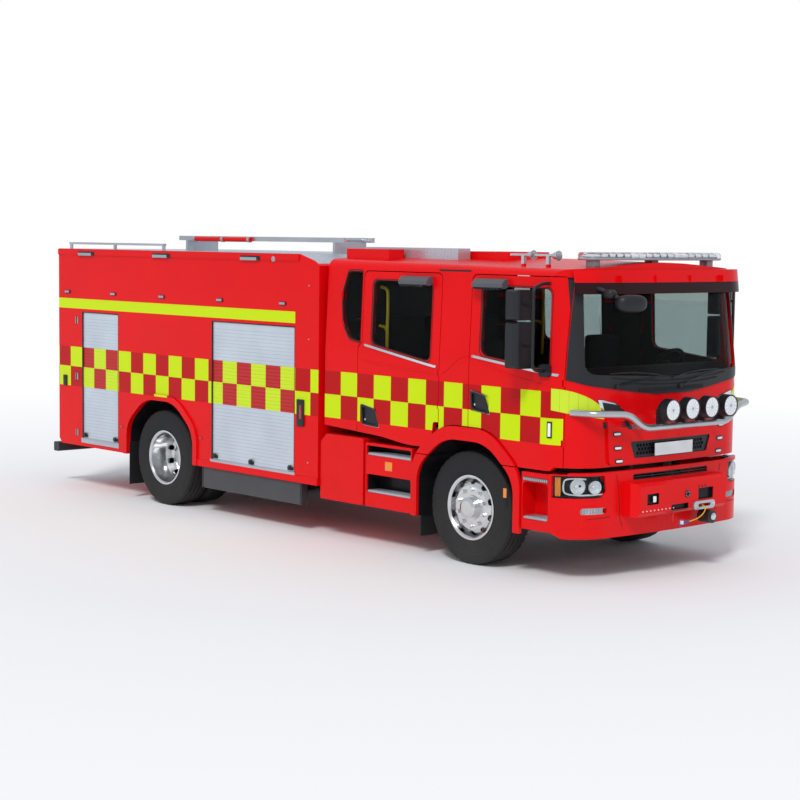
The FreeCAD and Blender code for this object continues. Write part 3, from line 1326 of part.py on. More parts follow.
BAR_R = 30.0
BAR_Z = 1345.0
BAR_END_Z = 1482.0
BAR_Y = CAB_FRONT_Y - 180.0
BAR_HALF = 570.0
SPOT_R = 98.0
SPOT_Z = 1505.0
SPOT_PLACES = (-401.0, -134.0, 134.0, 401.0)


def lamp_bar():
    """Bent tube across the front that carries the spot lamps, on feet from the hatch."""
    bend_share = 0.3
    foot_x = 520.0
    foot_half = 18.0
    half_route = [(-CAB_HALF + 95.0, CAB_FRONT_Y + 180.0, BAR_END_Z), (-CAB_HALF + 155.0, CAB_FRONT_Y - 35.0, BAR_END_Z),
                  (-BAR_HALF - 190.0, BAR_Y + 25.0, BAR_END_Z - 8.0), (-BAR_HALF, BAR_Y, BAR_Z)]
    route = half_route + [(-x, y, z) for x, y, z in reversed(half_route)]
    tube = tube_along(route, BAR_R, bend_share)
    feet = box(-foot_x - foot_half, -foot_x + foot_half, BAR_Y, CAB_FRONT_Y, BAR_Z - foot_half, BAR_Z + foot_half)
    skin = Part.Face(cab_plan(-HATCH_OUT - SEAT_GAP, 0, 0)).extrude(V(0, 0, HATCH_Z[1] + MOVE_GAP))
    solid = fuse([tube] + both_sides(feet)).cut(skin)
    return solid.cut(cab_form(-SEAT_GAP, CAB_BOTTOM_Z))


def spot_lamps():
    """Four round lamps with a hollow front, each on a stalk on the bar."""
    shell_l = 75.0
    back_l = 60.0
    back_r = 48.0
    rim_w = 9.0
    bowl_l = 62.0
    bowl_r = 34.0
    stalk_half = 15.0
    y1 = FRONT_TIP_Y + shell_l
    lamps = []
    for x in SPOT_PLACES:
        body = cyl(SPOT_R, V(x, FRONT_TIP_Y, SPOT_Z), V(x, y1, SPOT_Z))
        back = Part.makeCone(SPOT_R, back_r, back_l, V(x, y1, SPOT_Z), V(0, 1, 0))
        bowl = Part.makeCone(SPOT_R - rim_w, bowl_r, bowl_l, V(x, FRONT_TIP_Y - SEAT_GAP, SPOT_Z), V(0, 1, 0))
        stalk = box(x - stalk_half, x + stalk_half, y1 + WELD, BAR_Y + stalk_half * 0.5, BAR_Z + BAR_R + SEAT_GAP,
                    SPOT_Z)
        lamps.append(fuse([body, back, stalk]).cut(bowl))
    return lamps


def visor():
    """Sun visor across the top of the windscreen, on four brackets."""
    out = 95.0
    plate_t = 10.0
    z0 = 2500.0
    z1 = 2708.0
    bracket_half = 6.0
    bracket_z = (2600.0, 2660.0)
    half = CAB_HALF - 90.0
    far = CAB_FRONT_Y + 365.0
    lean = V(0, RAKE_Y * 0.2, z1 - z0)
    outer = Part.Face(cab_plan(-out, z0, far)).extrude(lean)
    inner = Part.Face(cab_plan(-out + plate_t, z0, far + SLACK)).extrude(lean)
    band = outer.cut(inner)
    band.translate(V(0, RAKE_Y * (z0 - BELT_Z) / (ROOF_Z - BELT_Z), 0))
    pieces = [band.common(box(-half, half, CAB_FRONT_Y - SLACK, far, 0, ROOF_Z + SLACK))]
    shelf = front_band(-out + plate_t / 2, -WELD * 2, z1 - plate_t, z1)
    shelf.translate(V(0, RAKE_Y * (z1 - BELT_Z) / (ROOF_Z - BELT_Z), 0))
    pieces.append(shelf.common(box(-half, half, CAB_FRONT_Y - SLACK, far - SLACK, 0, ROOF_Z + SLACK)))
    for x in (-700.0, -240.0, 240.0, 700.0):
        pieces.append(box(x - bracket_half, x + bracket_half, CAB_FRONT_Y, CAB_FRONT_Y + 185.0, bracket_z[0], bracket_z[1]))
    return fuse(pieces).cut(cab_form(-SKIN_T - SEAT_GAP, CAB_BOTTOM_Z))


def light_bar():
    """Warning light bar with rounded ends, on three feet."""
    half = CAB_HALF - 295.0
    half_y = 135.0
    y = CAB_FRONT_Y + 270.0
    z0 = 2792.0
    z1 = 2858.0
    foot_half = 45.0
    foot_x = half * 0.85
    feet_low = ROOF_Z - 90.0
    bar = prism_z(rounded_box_points(-half, half, y - half_y, y + half_y, half_y * 0.9), z0, z1)
    top = prism_y(rounded_box_points(-half, half, z0, z1, (z1 - z0) * 0.35), y - half_y - SLACK, y + half_y + SLACK)
    feet = [box(x - foot_half, x + foot_half, y - foot_half, y + foot_half, feet_low, z0 + WELD)
            for x in (-foot_x, 0, foot_x)]
    return fuse([bar.common(top)] + feet).cut(cab_form(-SEAT_GAP, CAB_BOTTOM_Z))


def air_horn(x, y, z):
    """Trumpet horn on a low foot."""
    bell_r = 45.0
    throat_r = 14.0
    bell_l = 90.0
    pipe_l = 190.0
    foot_half = 16.0
    foot_drop = 130.0
    bell = Part.makeCone(bell_r, throat_r, bell_l, V(x, y, z), V(0, 1, 0))
    pipe = cyl(throat_r, V(x, y + bell_l - WELD, z), V(x, y + bell_l + pipe_l, z))
    foot = box(x - foot_half, x + foot_half, y + bell_l + foot_half, y + bell_l + foot_half * 3, z - foot_drop, z)
    return fuse([bell, pipe, foot])


def roof_gear():
    """Roof hatch, equipment boxes and the air horns."""
    base = ROOF_Z - 60.0
    pieces = [
        box(-CAB_HALF + 250.0, -CAB_HALF + 450.0, CAB_REAR_Y - 640.0, CAB_REAR_Y - 20.0, base, ROOF_Z + 70.0),
        box(-CAB_HALF + 490.0, -CAB_HALF + 650.0, CAB_REAR_Y - 1350.0, CAB_REAR_Y - 20.0, base, ROOF_Z + 88.0),
        prism_z(rounded_box_points(-520.0, 80.0, 200.0, 800.0, 60.0), base, ROOF_Z + 62.0)]
    horn_z = ROOF_Z + 42.0
    for y in (-860.0, -560.0):
        pieces.append(air_horn(-CAB_HALF + 250.0, y, horn_z))
    return [p.cut(cab_form(-SEAT_GAP, CAB_BOTTOM_Z)) for p in pieces]


# Wheel arches, steps and side boxes of the cab

def front_arch_zone():
    """Flare and liner of the right front arch, down to its feet."""
    out_x = -CAB_HALF - FENDER_OUT
    inner = prism_x(arch_outline(FENDER_FRONT_Y, FENDER_REAR_Y, FENDER_LOW_Z - SLACK, FENDER_TOP_Z), -CAB_HALF - SLACK,
                    -FENDER_INNER_X + SLACK)
    flare = prism_x(fender_outline(0, FENDER_LOW_Z), out_x, -CAB_HALF + CAB_WALL)
    liner = prism_x(arch_outline(FENDER_FRONT_Y - LINER_T, FENDER_REAR_Y + LINER_T, FENDER_LOW_Z, FENDER_TOP_Z + LINER_T),
                    out_x, -FENDER_INNER_X)
    return fuse([flare, liner]).cut(inner)


def cab_arches():
    """Upper part of the front arches, carried by the cab floor."""
    carrier_x = (-FENDER_INNER_X - 40.0, -FENDER_INNER_X - 240.0)
    carrier_y = (-160.0, 160.0)
    arch = front_arch_zone().common(box(-CAB_HALF - SLACK, 0, -SLACK * 10, SLACK * 10, FENDER_SPLIT_Z + MOVE_GAP, ROOF_Z))
    top = FENDER_TOP_Z + LINER_T - WELD
    carrier = box(carrier_x[0], carrier_x[1], carrier_y[0], carrier_y[1], top, FLOOR_LOW_Z - SEAT_GAP)
    return both_sides(fuse([arch, carrier]))


def fender_legs():
    """Lower part of the front arches, held by bars from the frame."""
    bar_z = (700.0, 745.0)
    bar_t = 48.0
    legs = front_arch_zone().common(box(-CAB_HALF - SLACK, 0, -SLACK * 10, SLACK * 10, 0, FENDER_SPLIT_Z))
    bars = []
    for y in (FENDER_FRONT_Y - LINER_T - bar_t + WELD, FENDER_REAR_Y + LINER_T - WELD):
        bars.append(box(-FENDER_INNER_X - bar_t, -RAIL_HALF - SEAT_GAP, y, y + bar_t, bar_z[0], bar_z[1]))
    whole = fuse([legs] + bars)
    return both_sides(whole)


STEP_IN = 240.0


def step_box(y0, y1, z0, z1, mouths, rail_y, rail_z):
    """Step unit with open treads, held by a bar from the frame."""
    out = 5.0
    depth = 160.0
    side_t = 15.0
    bar_half = 30.0
    unit = box(-CAB_HALF - out, -CAB_HALF + STEP_IN, y0, y1, z0, z1)
    for low, high in mouths:
        corner = (high - low) * 0.12
        points = rounded_box_points(y0 + side_t, y1 - side_t, low, high, corner)
        unit = unit.cut(prism_x(points, -CAB_HALF - SLACK, -CAB_HALF + depth))
    bar = box(-CAB_HALF + STEP_IN - WELD, -RAIL_HALF - SEAT_GAP, rail_y - bar_half, rail_y + bar_half, rail_z - bar_half,
              rail_z + bar_half)
    return both_sides(fuse([unit, bar]))


def side_boxes():
    """Entry steps of the cab, and the closed boxes behind them."""
    front_y = (CAB_FRONT_Y + 325.0, FENDER_FRONT_Y - FENDER_FLARE - MOVE_GAP)
    rear_y = (FENDER_REAR_Y + FENDER_FLARE + MOVE_GAP, 1375.0)
    box_y = (1400.0, CAB_REAR_Y + 40.0)
    front_top = 935.0
    rail_z = 745.0
    front = step_box(front_y[0], front_y[1], 430.0, front_top, ((520.0, 850.0),), front_y[0] + 60.0, rail_z)
    rear = step_box(rear_y[0], rear_y[1], 385.0, 1000.0, ((520.0, 700.0), (880.0, 975.0)), 1030.0, rail_z)
    outline = [(box_y[0], 385.0, 20.0), (box_y[1], 385.0, 20.0), (box_y[1], 950.0), (box_y[1] - 90.0, 1035.0),
               (box_y[0], 1035.0, 20.0)]
    closed = prism_x(outline, -CAB_HALF - 15.0, -RAIL_HALF - SEAT_GAP)
    return front + rear + both_sides(closed)


# Equipment body

def rear_arch(grow, low_z):
    return arch_outline(REAR_ARCH_FRONT_Y - grow, REAR_ARCH_REAR_Y + grow, low_z, REAR_ARCH_TOP_Z + grow)


def equipment_body():
    """Closed body with shutter recesses, wheel arches with flares, and a cornice."""
    slope_y = (BODY_FRONT_Y + 80.0, BODY_FRONT_Y + 310.0)
    slope_drop = 63.0
    nose_drop = 110.0
    arch_in = MIDDLE_HALF - 30.0
    skirt_in = 60.0
    points = [(BODY_FRONT_Y, BODY_LOW_Z), (BODY_REAR_Y, BODY_LOW_Z), (BODY_REAR_Y, BODY_TOP_Z), (slope_y[1], BODY_TOP_Z),
              (slope_y[0], BODY_TOP_Z - slope_drop), (BODY_FRONT_Y, BODY_TOP_Z - nose_drop)]
    block = prism_x(points, -BODY_HALF, BODY_HALF)
    cornice = box(-BODY_HALF - CORNICE_OUT, BODY_HALF + CORNICE_OUT, slope_y[1], BODY_REAR_Y, BODY_TOP_Z - CORNICE_H,
                  BODY_TOP_Z - CORNICE_H * 0.1)
    sill = both_sides(box(-BODY_HALF - CORNICE_OUT, -BODY_HALF + WELD, BODY_FRONT_Y, REAR_ARCH_FRONT_Y - FLARE_W,
                          BODY_LOW_Z, BODY_LOW_Z + CORNICE_H))
    flare = prism_x(rear_arch(FLARE_W, BODY_LOW_Z), -BODY_HALF - FLARE_OUT, -BODY_HALF + WELD)
    solid = fuse([block, cornice] + sill + both_sides(flare))
    cuts = both_sides(prism_x(rear_arch(0, BODY_LOW_Z - SLACK), -BODY_HALF - SLACK, -arch_in))
    for y0, y1 in (FRONT_SHUTTER_Y, REAR_SHUTTER_Y):
        recess = box(-BODY_HALF - SLACK, -BODY_HALF + SHUTTER_IN, y0, y1, SHUTTER_LOW_Z, SHUTTER_TOP_Z)
        cuts += both_sides(recess)
    cuts.append(box(-BACK_SHUTTER_HALF, BACK_SHUTTER_HALF, BODY_REAR_Y - SHUTTER_IN, BODY_REAR_Y + SLACK,
                    BACK_SHUTTER_Z[0], BACK_SHUTTER_Z[1]))
    cuts.append(box(-MIDDLE_HALF, MIDDLE_HALF, BODY_FRONT_Y - SLACK, BODY_REAR_Y + SLACK, 0, RAIL_TOP + SEAT_GAP))
    chamfer = prism_x(((BODY_REAR_Y + SLACK, 0), (BODY_REAR_Y + SLACK, BODY_LOW_Z + skirt_in * 2),
                       (BODY_REAR_Y, BODY_LOW_Z + skirt_in), (BODY_REAR_Y - skirt_in, BODY_LOW_Z), (BODY_REAR_Y, 0)),
                      -BODY_HALF - SLACK, BODY_HALF + SLACK)
    return solid.cut(cuts + [chamfer])


def slat_outline(inner, outer, z0, z1):
    """Cross-section of a roller shutter, with a shallow groove under each slat."""
    slat = 36.5
    groove = math.copysign(2.5, inner - outer)
    groove_h = 5.0
    points = [(inner, z0), (outer, z0)]
    count = int((z1 - z0) / slat)
    for i in range(1, count):
        z = z0 + i * slat
        points += [(outer, z - groove_h), (outer + groove, z - groove_h * 0.5), (outer, z)]
    return points + [(outer, z1), (inner, z1)]


def shutters():
    """Roller shutters of the two side lockers and of the back."""
    side_gap = 4.0
    end_gap = 2.0
    skin = 8.0
    z0 = SHUTTER_LOW_Z + end_gap
    z1 = SHUTTER_TOP_Z - end_gap
    outline = slat_outline(-BODY_HALF + SHUTTER_IN - SEAT_GAP, -BODY_HALF + skin, z0, z1)
    curtains = []
    for y0, y1 in (FRONT_SHUTTER_Y, REAR_SHUTTER_Y):
        curtains += both_sides(prism_y(outline, y0 + side_gap, y1 - side_gap))
    half = BACK_SHUTTER_HALF - side_gap
    back = slat_outline(BODY_REAR_Y - SHUTTER_IN + SEAT_GAP, BODY_REAR_Y - skin, BACK_SHUTTER_Z[0] + end_gap,
                        BACK_SHUTTER_Z[1] - end_gap)
    return curtains + [prism_x(back, -half, half)]


def step_flap(side):
    """Panel that folds down about a line in its rounded lower edge."""
    bore_over = 2.0
    x = -FLAP_X + FLAP_T / 2
    z = FLAP_LOW_Z + FLAP_T / 2
    panel = box(-FLAP_X, -FLAP_X + FLAP_T, FLAP_Y[0], FLAP_Y[1], z, FLAP_TOP_Z)
    edge = cyl(FLAP_T / 2, V(x, FLAP_Y[0], z), V(x, FLAP_Y[1], z))
    reach = FLAP_PIN_L + bore_over
    bores = []
    for y0, y1 in ((FLAP_Y[0] - SLACK, FLAP_Y[0] + reach), (FLAP_Y[1] - reach, FLAP_Y[1] + SLACK)):
        bores.append(cyl(FLAP_PIN_R + RUN_CLEARANCE, V(x, y0, z), V(x, y1, z)))
    solid = fuse([panel, edge]).cut(bores)
    return solid if side < 0 else mirrored(solid)


def flap_hangers():
    """Hangers under the body with the pins that the flaps fold about."""
    plate_t = 14.0
    inner_reach = 60.0
    x = -FLAP_X + FLAP_T / 2
    z = FLAP_LOW_Z + FLAP_T / 2
    pieces = []
    for y, way in ((FLAP_Y[0] - MOVE_GAP, 1), (FLAP_Y[1] + MOVE_GAP, -1)):
        back = y - way * plate_t
        plate = box(x - FLAP_T / 2, x + inner_reach, y, back, FLAP_LOW_Z, BODY_LOW_Z - SEAT_GAP)
        pin = cyl(FLAP_PIN_R, V(x, back, z), V(x, y + way * (MOVE_GAP + FLAP_PIN_L), z))
        pieces += both_sides(fuse([plate, pin]))
    return pieces


def body_lamps():
    """Rear lamps, long scene lamps under the cornice and small side markers."""
    lamp_x = 1075.0
    lamp_w = 110.0
    lamp_t = 45.0
    lamp_z = (620.0, 1010.0)
    scene_l = 330.0
    scene_h = 42.0
    scene_out = 26.0
    scene_z = BODY_TOP_Z - CORNICE_H - scene_h - 18.0
    marker_l = 90.0
    marker_h = 30.0
    marker_out = 9.0
    marker_z = 2385.0
    low_z = 807.0
    run = BODY_REAR_Y - BODY_FRONT_Y
    lamps = []
    rear = prism_y(rounded_box_points(-lamp_x - lamp_w, -lamp_x, lamp_z[0], lamp_z[1], lamp_w * 0.25),
                   BODY_REAR_Y + SEAT_GAP, BODY_REAR_Y + lamp_t)
    lamps += both_sides(rear)
    face = -BODY_HALF - SEAT_GAP
    for share in (0.16, 0.50, 0.86):
        y = BODY_FRONT_Y + share * run
        points = rounded_box_points(y - scene_l / 2, y + scene_l / 2, scene_z, scene_z + scene_h, scene_h * 0.4)
        lamps += both_sides(prism_x(points, face - scene_out, face))
    for share in (0.10, 0.32, 0.55, 0.77, 0.97):
        y = BODY_FRONT_Y + share * run
        points = rounded_box_points(y - marker_l / 2, y + marker_l / 2, marker_z, marker_z + marker_h, marker_h * 0.4)
        lamps += both_sides(prism_x(points, face - marker_out, face))
    low_step = FLARE_W + marker_l * 0.6
    for y in (REAR_ARCH_REAR_Y + low_step, REAR_ARCH_FRONT_Y - low_step):
        points = rounded_box_points(y - marker_l / 2, y + marker_l / 2, low_z - marker_h / 2, low_z + marker_h / 2,
                                    marker_h * 0.4)
        lamps += both_sides(prism_x(points, face - marker_out, face))
    return lamps


def rear_hitch():
    """Underrun bar, cross beam and tow jaw behind the frame."""
    bar_half = BODY_HALF - 70.0
    bar_t = 110.0
    bar_z = (380.0, 490.0)
    arm_in = 80.0
    arm_t = 50.0
    arm_z = 400.0
    beam_z = (600.0, 900.0)
    beam_t = 60.0
    jaw_half = 90.0
    jaw_z = (600.0, 760.0)
    mouth_z = (640.0, 720.0)
    mouth_l = 190.0
    jaw_end = 30.0
    bore_y = REAR_TIP_Y - 80.0
    y0 = RAIL_REAR_Y + SEAT_GAP
    bar = prism_x(rounded_box_points(REAR_TIP_Y - bar_t, REAR_TIP_Y, bar_z[0], bar_z[1], bar_t * 0.15), -bar_half, bar_half)
    arms = [box(-RAIL_HALF, -RAIL_HALF + arm_in, y0, REAR_TIP_Y - bar_t + WELD, arm_z, bar_z[1]),
            box(-RAIL_HALF, -RAIL_HALF + arm_in, y0, y0 + arm_t, arm_z, beam_z[1])]
    jaw = box(-jaw_half, jaw_half, RAIL_REAR_Y + beam_t - WELD, REAR_TIP_Y - jaw_end, jaw_z[0], jaw_z[1])
    mouth = box(-jaw_half - SLACK, jaw_half + SLACK, REAR_TIP_Y - mouth_l, REAR_TIP_Y, mouth_z[0], mouth_z[1])
    bore = cyl(JAW_BORE_R, V(0, bore_y, jaw_z[0] - SLACK), V(0, bore_y, jaw_z[1] + SLACK))
    beam = box(-RAIL_HALF, RAIL_HALF, y0, RAIL_REAR_Y + beam_t, beam_z[0], beam_z[1])
    return fuse([bar, jaw.cut([mouth, bore]), beam] + both_sides(arms[0]) + both_sides(arms[1]))


def mudflaps():
    flap_t = 12.0
    rear_x = (-BODY_HALF + 20.0, -MIDDLE_HALF - 50.0)
    rear_z = (160.0, 640.0)
    front_x = (-CAB_HALF + 55.0, -CAB_HALF + 420.0)
    front_z = (180.0, 560.0)
    rear_y = REAR_ARCH_REAR_Y - SEAT_GAP
    front_y = FENDER_REAR_Y + LINER_T + SEAT_GAP
    rear = box(rear_x[0], rear_x[1], rear_y - flap_t, rear_y, rear_z[0], rear_z[1])
    front = box(front_x[0], front_x[1], front_y, front_y + flap_t, front_z[0], front_z[1])
    return both_sides(rear) + both_sides(front)


def roof_ladder():
    """Ladder on two cross bars, and a low rail along the right edge of the body's roof."""
    base = BODY_TOP_Z + SEAT_GAP
    z = BODY_TOP_Z + 115.0
    rail_w = 40.0
    rail_h = 50.0
    ladder_x = (-640.0, -260.0)
    ladder_y = (BODY_FRONT_Y + 330.0, BODY_FRONT_Y + 3190.0)
    rung_r = 14.0
    rung_pitch = 300.0
    foot_half = 20.0
    foot_in = 150.0
    pieces = []
    for x in ladder_x:
        pieces.append(box(x - rail_w / 2, x + rail_w / 2, ladder_y[0], ladder_y[1], z, z + rail_h))
    count = int((ladder_y[1] - ladder_y[0]) / rung_pitch)
    for i in range(count):
        y = ladder_y[0] + (i + 0.5) * rung_pitch
        pieces.append(cyl(rung_r, V(ladder_x[0], y, z + rail_h / 2), V(ladder_x[1], y, z + rail_h / 2)))
    for y in (ladder_y[0] + foot_in, ladder_y[1] - foot_in):
        pieces.append(box(ladder_x[0] - foot_half, ladder_x[1] + foot_half, y - foot_half, y + foot_half, base,
                          z + rail_h * 0.1))
    rail_x = -BODY_HALF + 150.0
    rail_y = (WHEELBASE + 150.0, BODY_REAR_Y - 20.0)
    rail = box(rail_x - foot_half, rail_x + foot_half, rail_y[0], rail_y[1], base + rail_h, base + rail_h * 1.5)
    posts = [box(rail_x - foot_half / 2, rail_x + foot_half / 2, y, y + rail_w, base, base + rail_h + WELD)
             for y in (rail_y[0], (rail_y[0] + rail_y[1]) / 2, rail_y[1] - rail_w)]
    return [fuse(pieces), fuse([rail] + posts)]


def mirror():
    """Main and wide-angle mirror heads on a bent arm, carried by the right front door."""
    x_out = -CAB_HALF - 285.0
    x_in = -CAB_HALF - 50.0
    main_y = (FRONT_DOOR_Y[0] + 257.0, FRONT_DOOR_Y[0] + 392.0)
    main_z = (1850.0, 2250.0)
    wide_z = (2268.0, 2528.0)
    arm_r = 15.0
    link_r = 11.0
    arm_x = (x_in + x_out) / 2
    arm_y = FRONT_DOOR_Y[0] + 170.0
    arm_in = 25.0
    arm_top = 2585.0
    arm_low = 1840.0
    bend_share = 0.35
    corner = 45.0
    tuck = 30.0
    heads = []
    for z0, z1 in (main_z, wide_z):
        plan = [(x_out, main_y[0], corner), (x_in, main_y[0], corner), (x_in, main_y[1], corner / 4),
                (x_out, main_y[1], corner / 4)]
        head = prism_z(plan, z0, z1)
        front = prism_y(rounded_box_points(x_out, x_in, z0, z1, corner * 0.8), main_y[0] - SLACK, main_y[1] + SLACK)
        heads.append(head.common(front))
    route = [(-CAB_HALF + arm_in, arm_y, arm_top), (-CAB_HALF - 60.0, arm_y, arm_top), (arm_x, arm_y, arm_top - 40.0),
             (arm_x, arm_y, arm_low), (-CAB_HALF + arm_in, arm_y, arm_low - 10.0)]
    arm = tube_along(route, arm_r, bend_share)
    links = []
    for z0, z1 in (main_z, wide_z):
        z = (z0 + z1) / 2
        links.append(cyl(link_r, V(arm_x, arm_y, z), V(arm_x, main_y[0] + tuck, z)))
    foot_y = (arm_y - 60.0, arm_y + 60.0)
    foot = prism_x(rounded_box_points(foot_y[0], foot_y[1], arm_low - 60.0, arm_low + 50.0, tuck), -CAB_HALF - tuck,
                   -CAB_HALF + arm_in)
    return fuse([arm, foot] + links + heads).cut(cab_form(-SEAT_GAP, CAB_BOTTOM_Z))


def main():
    make_wheels()
    for name, side in (("right", -1), ("left", 1)):
        save("knuckle_" + name, [knuckle(side)])
        save("step_flap_" + name, [step_flap(side)])
    save("front_axle", [front_axle()])
    save("rear_axle", [rear_axle()])
    save("chassis_frame", [chassis_frame()])
    save("engine_block", [engine_block()])
    make_cab()
    save("screen_surround", [screen_surround()])
    right_mirror = mirror()
    save("mirror_right", [right_mirror])
    save("mirror_left", [mirrored(right_mirror)])
    save("cab_floor", [cab_floor()])
    save("seat_cushions", make_seats())
    save("dashboard", [dashboard()])
    save("bumper", [bumper(), winch_beam()])
    save("lower_grille", [lower_grille()])
    save("headlamps", headlamps())
    save("winch_gear", [fairlead(), beam_roller(), beam_hook()])
    save("winch_rope", [tube_along(ROPE_ROUTE, ROPE_D / 2, ROPE_BEND_SHARE)])
    save("rope_eye", [rope_eye()])
    save("grille_hatch", [grille_hatch()])
    save("grille_mesh", [grille_mesh()])
    save("number_plate", [number_plate()])
    save("lamp_bar", [lamp_bar()])
    save("spot_lamps", spot_lamps())
    save("visor", [visor()])
    save("light_bar", [light_bar()])
    save("roof_gear", roof_gear())
    save("cab_arches", cab_arches())
    save("fender_legs", fender_legs())
    save("side_boxes", side_boxes())
    save("equipment_body", [equipment_body()])
    save("shutters", shutters())
    save("flap_hangers", flap_hangers())
    save("body_lamps", body_lamps())
    save("rear_hitch", [rear_hitch()])
    save("mudflaps", mudflaps())
    save("roof_ladder", roof_ladder())


main()
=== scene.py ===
# %% [markdown]
# Fire engine with a crew cab.
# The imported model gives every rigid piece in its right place, in metres.
# This script dresses it: paint and reflective bands, glass, tyres with tread,
# lamps, handles, wipers and padded seats.
# The vehicle faces -Y, its right side is -X and +Z is up.

# %% Load the frame
import json
import math
import bpy
import bmesh
from mathutils import Matrix, Vector
from mathutils.bvhtree import BVHTree


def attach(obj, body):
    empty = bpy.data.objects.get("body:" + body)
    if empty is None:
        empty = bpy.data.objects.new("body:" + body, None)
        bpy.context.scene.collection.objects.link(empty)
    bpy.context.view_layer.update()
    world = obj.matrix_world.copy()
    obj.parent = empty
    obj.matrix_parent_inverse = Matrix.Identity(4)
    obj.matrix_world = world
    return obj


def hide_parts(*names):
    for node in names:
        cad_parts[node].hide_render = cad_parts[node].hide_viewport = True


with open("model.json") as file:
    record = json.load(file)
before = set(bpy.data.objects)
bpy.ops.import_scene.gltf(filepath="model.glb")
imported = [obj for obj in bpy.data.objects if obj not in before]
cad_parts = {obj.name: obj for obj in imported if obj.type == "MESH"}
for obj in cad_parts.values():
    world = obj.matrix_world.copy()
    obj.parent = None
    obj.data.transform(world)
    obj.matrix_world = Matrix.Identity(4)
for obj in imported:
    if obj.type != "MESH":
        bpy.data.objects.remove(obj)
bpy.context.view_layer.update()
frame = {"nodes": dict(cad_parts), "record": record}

nodes = frame["nodes"]
SIDES = (("right", -1), ("left", 1))
DOORS = [(where, hand, side) for where in ("front", "crew") for hand, side in SIDES]
slot_of = {part["node"]: part["material_slot"] for part in frame["record"]["subparts"]}

# %% [markdown]
# The camera stands in front of the vehicle's right front corner, at head height.
# Its place, turn and lens come from points of the photograph whose real places are known.

# %% Camera
CAMERA_PLACE = Vector((-12.697, -14.412, 2.957))
CAMERA_YAW = math.radians(42.27)
CAMERA_PITCH = math.radians(5.07)
CAMERA_ROLL = math.radians(0.71)
CAMERA_LENS = 82.04
SENSOR = 36.0


def add_object(name, data):
    """New object in the scene with this data."""
    thing = bpy.data.objects.new(name, data)
    bpy.context.scene.collection.objects.link(thing)
    return thing


def make_camera():
    forward = Vector((math.sin(CAMERA_YAW) * math.cos(CAMERA_PITCH),
                      math.cos(CAMERA_YAW) * math.cos(CAMERA_PITCH), -math.sin(CAMERA_PITCH)))
    right = Vector((math.cos(CAMERA_YAW), -math.sin(CAMERA_YAW), 0))
    up = right.cross(forward)
    right_turned = right * math.cos(CAMERA_ROLL) + up * math.sin(CAMERA_ROLL)
    up_turned = up * math.cos(CAMERA_ROLL) - right * math.sin(CAMERA_ROLL)
    data = bpy.data.cameras.new("camera")
    data.lens = CAMERA_LENS
    data.sensor_width = SENSOR
    data.clip_end = 200.0
    camera = add_object("camera", data)
    turn = Matrix((right_turned, up_turned, -forward)).transposed().to_4x4()
    camera.matrix_world = Matrix.Translation(CAMERA_PLACE) @ turn
    bpy.context.scene.camera = camera
    return camera


camera = make_camera()
print("camera", camera.location)

# %% [markdown]
# A shader node group is like a small function for materials. Road dust, fine grain, the
# livery and painted zones come back on many finishes, so each is one group with named
# inputs, and every material sets its own amounts.

# %% Helper for shader trees
def link_nodes(tree, kind, inputs=None, **settings):
    """A shader node whose sockets are set to values, or joined to other sockets."""
    node = tree.nodes.new(kind)
    for key, value in settings.items():
        setattr(node, key, value)
    for key, value in (inputs or {}).items():
        if isinstance(value, bpy.types.NodeSocket):
            tree.links.new(value, node.inputs[key])
        else:
            node.inputs[key].default_value = value
    return node


def new_material(name):
    """Material, its node tree and its Principled shader."""
    material = bpy.data.materials.new(name)
    material.use_nodes = True
    tree = material.node_tree
    return material, tree, tree.nodes["Principled BSDF"]


def calc(tree, operation, a, b=0.5, c=0.5, clamp=False):
    node = link_nodes(tree, "ShaderNodeMath", {0: a, 1: b, 2: c}, operation=operation, use_clamp=clamp)
    return node.outputs[0]


def times(tree, *values):
    """Product of sockets and numbers."""
    result = values[0]
    for value in values[1:]:
        result = calc(tree, "MULTIPLY", result, value)
    return result


def noise(tree, place, scale, detail=3.0, roughness=0.5):
    node = link_nodes(tree, "ShaderNodeTexNoise", {"Vector": place, "Scale": scale, "Detail": detail,
                                                   "Roughness": roughness})
    return node.outputs["Fac"]


def mix_colours(tree, share, first, second):
    node = tree.nodes.new("ShaderNodeMix")
    node.data_type = "RGBA"
    for socket, value in ((node.inputs[0], share), (node.inputs[6], first), (node.inputs[7], second)):
        if isinstance(value, bpy.types.NodeSocket):
            tree.links.new(value, socket)
        else:
            socket.default_value = value
    return node.outputs[2]


def remap(tree, value, low, high, to_low=0.0, to_high=1.0):
    node = link_nodes(tree, "ShaderNodeMapRange", {0: value, 1: low, 2: high, 3: to_low, 4: to_high},
                      clamp=True)
    return node.outputs[0]


def axes(tree, source="Object"):
    """The x, y and z of the place on the vehicle, or of the surface's normal."""
    place = tree.nodes.new("ShaderNodeTexCoord").outputs[source]
    return link_nodes(tree, "ShaderNodeSeparateXYZ", {0: place}).outputs


def new_group(name, inputs, outputs):
    """Node group with named numbers as its inputs and outputs."""
    group = bpy.data.node_groups.new(name, "ShaderNodeTree")
    for label, value in inputs.items():
        socket = group.interface.new_socket(label, in_out="INPUT", socket_type="NodeSocketFloat")
        socket.default_value = value
    for label in outputs:
        group.interface.new_socket(label, in_out="OUTPUT", socket_type="NodeSocketFloat")
    entry = group.nodes.new("NodeGroupInput").outputs
    leave = group.nodes.new("NodeGroupOutput").inputs
    return group, entry, leave


print("shader helpers ready")

# %% [markdown]
# Road dust gathers low down and fades upwards in soft blotches.
# The group gives a mask of it. A material mixes its colour towards dust with that mask.

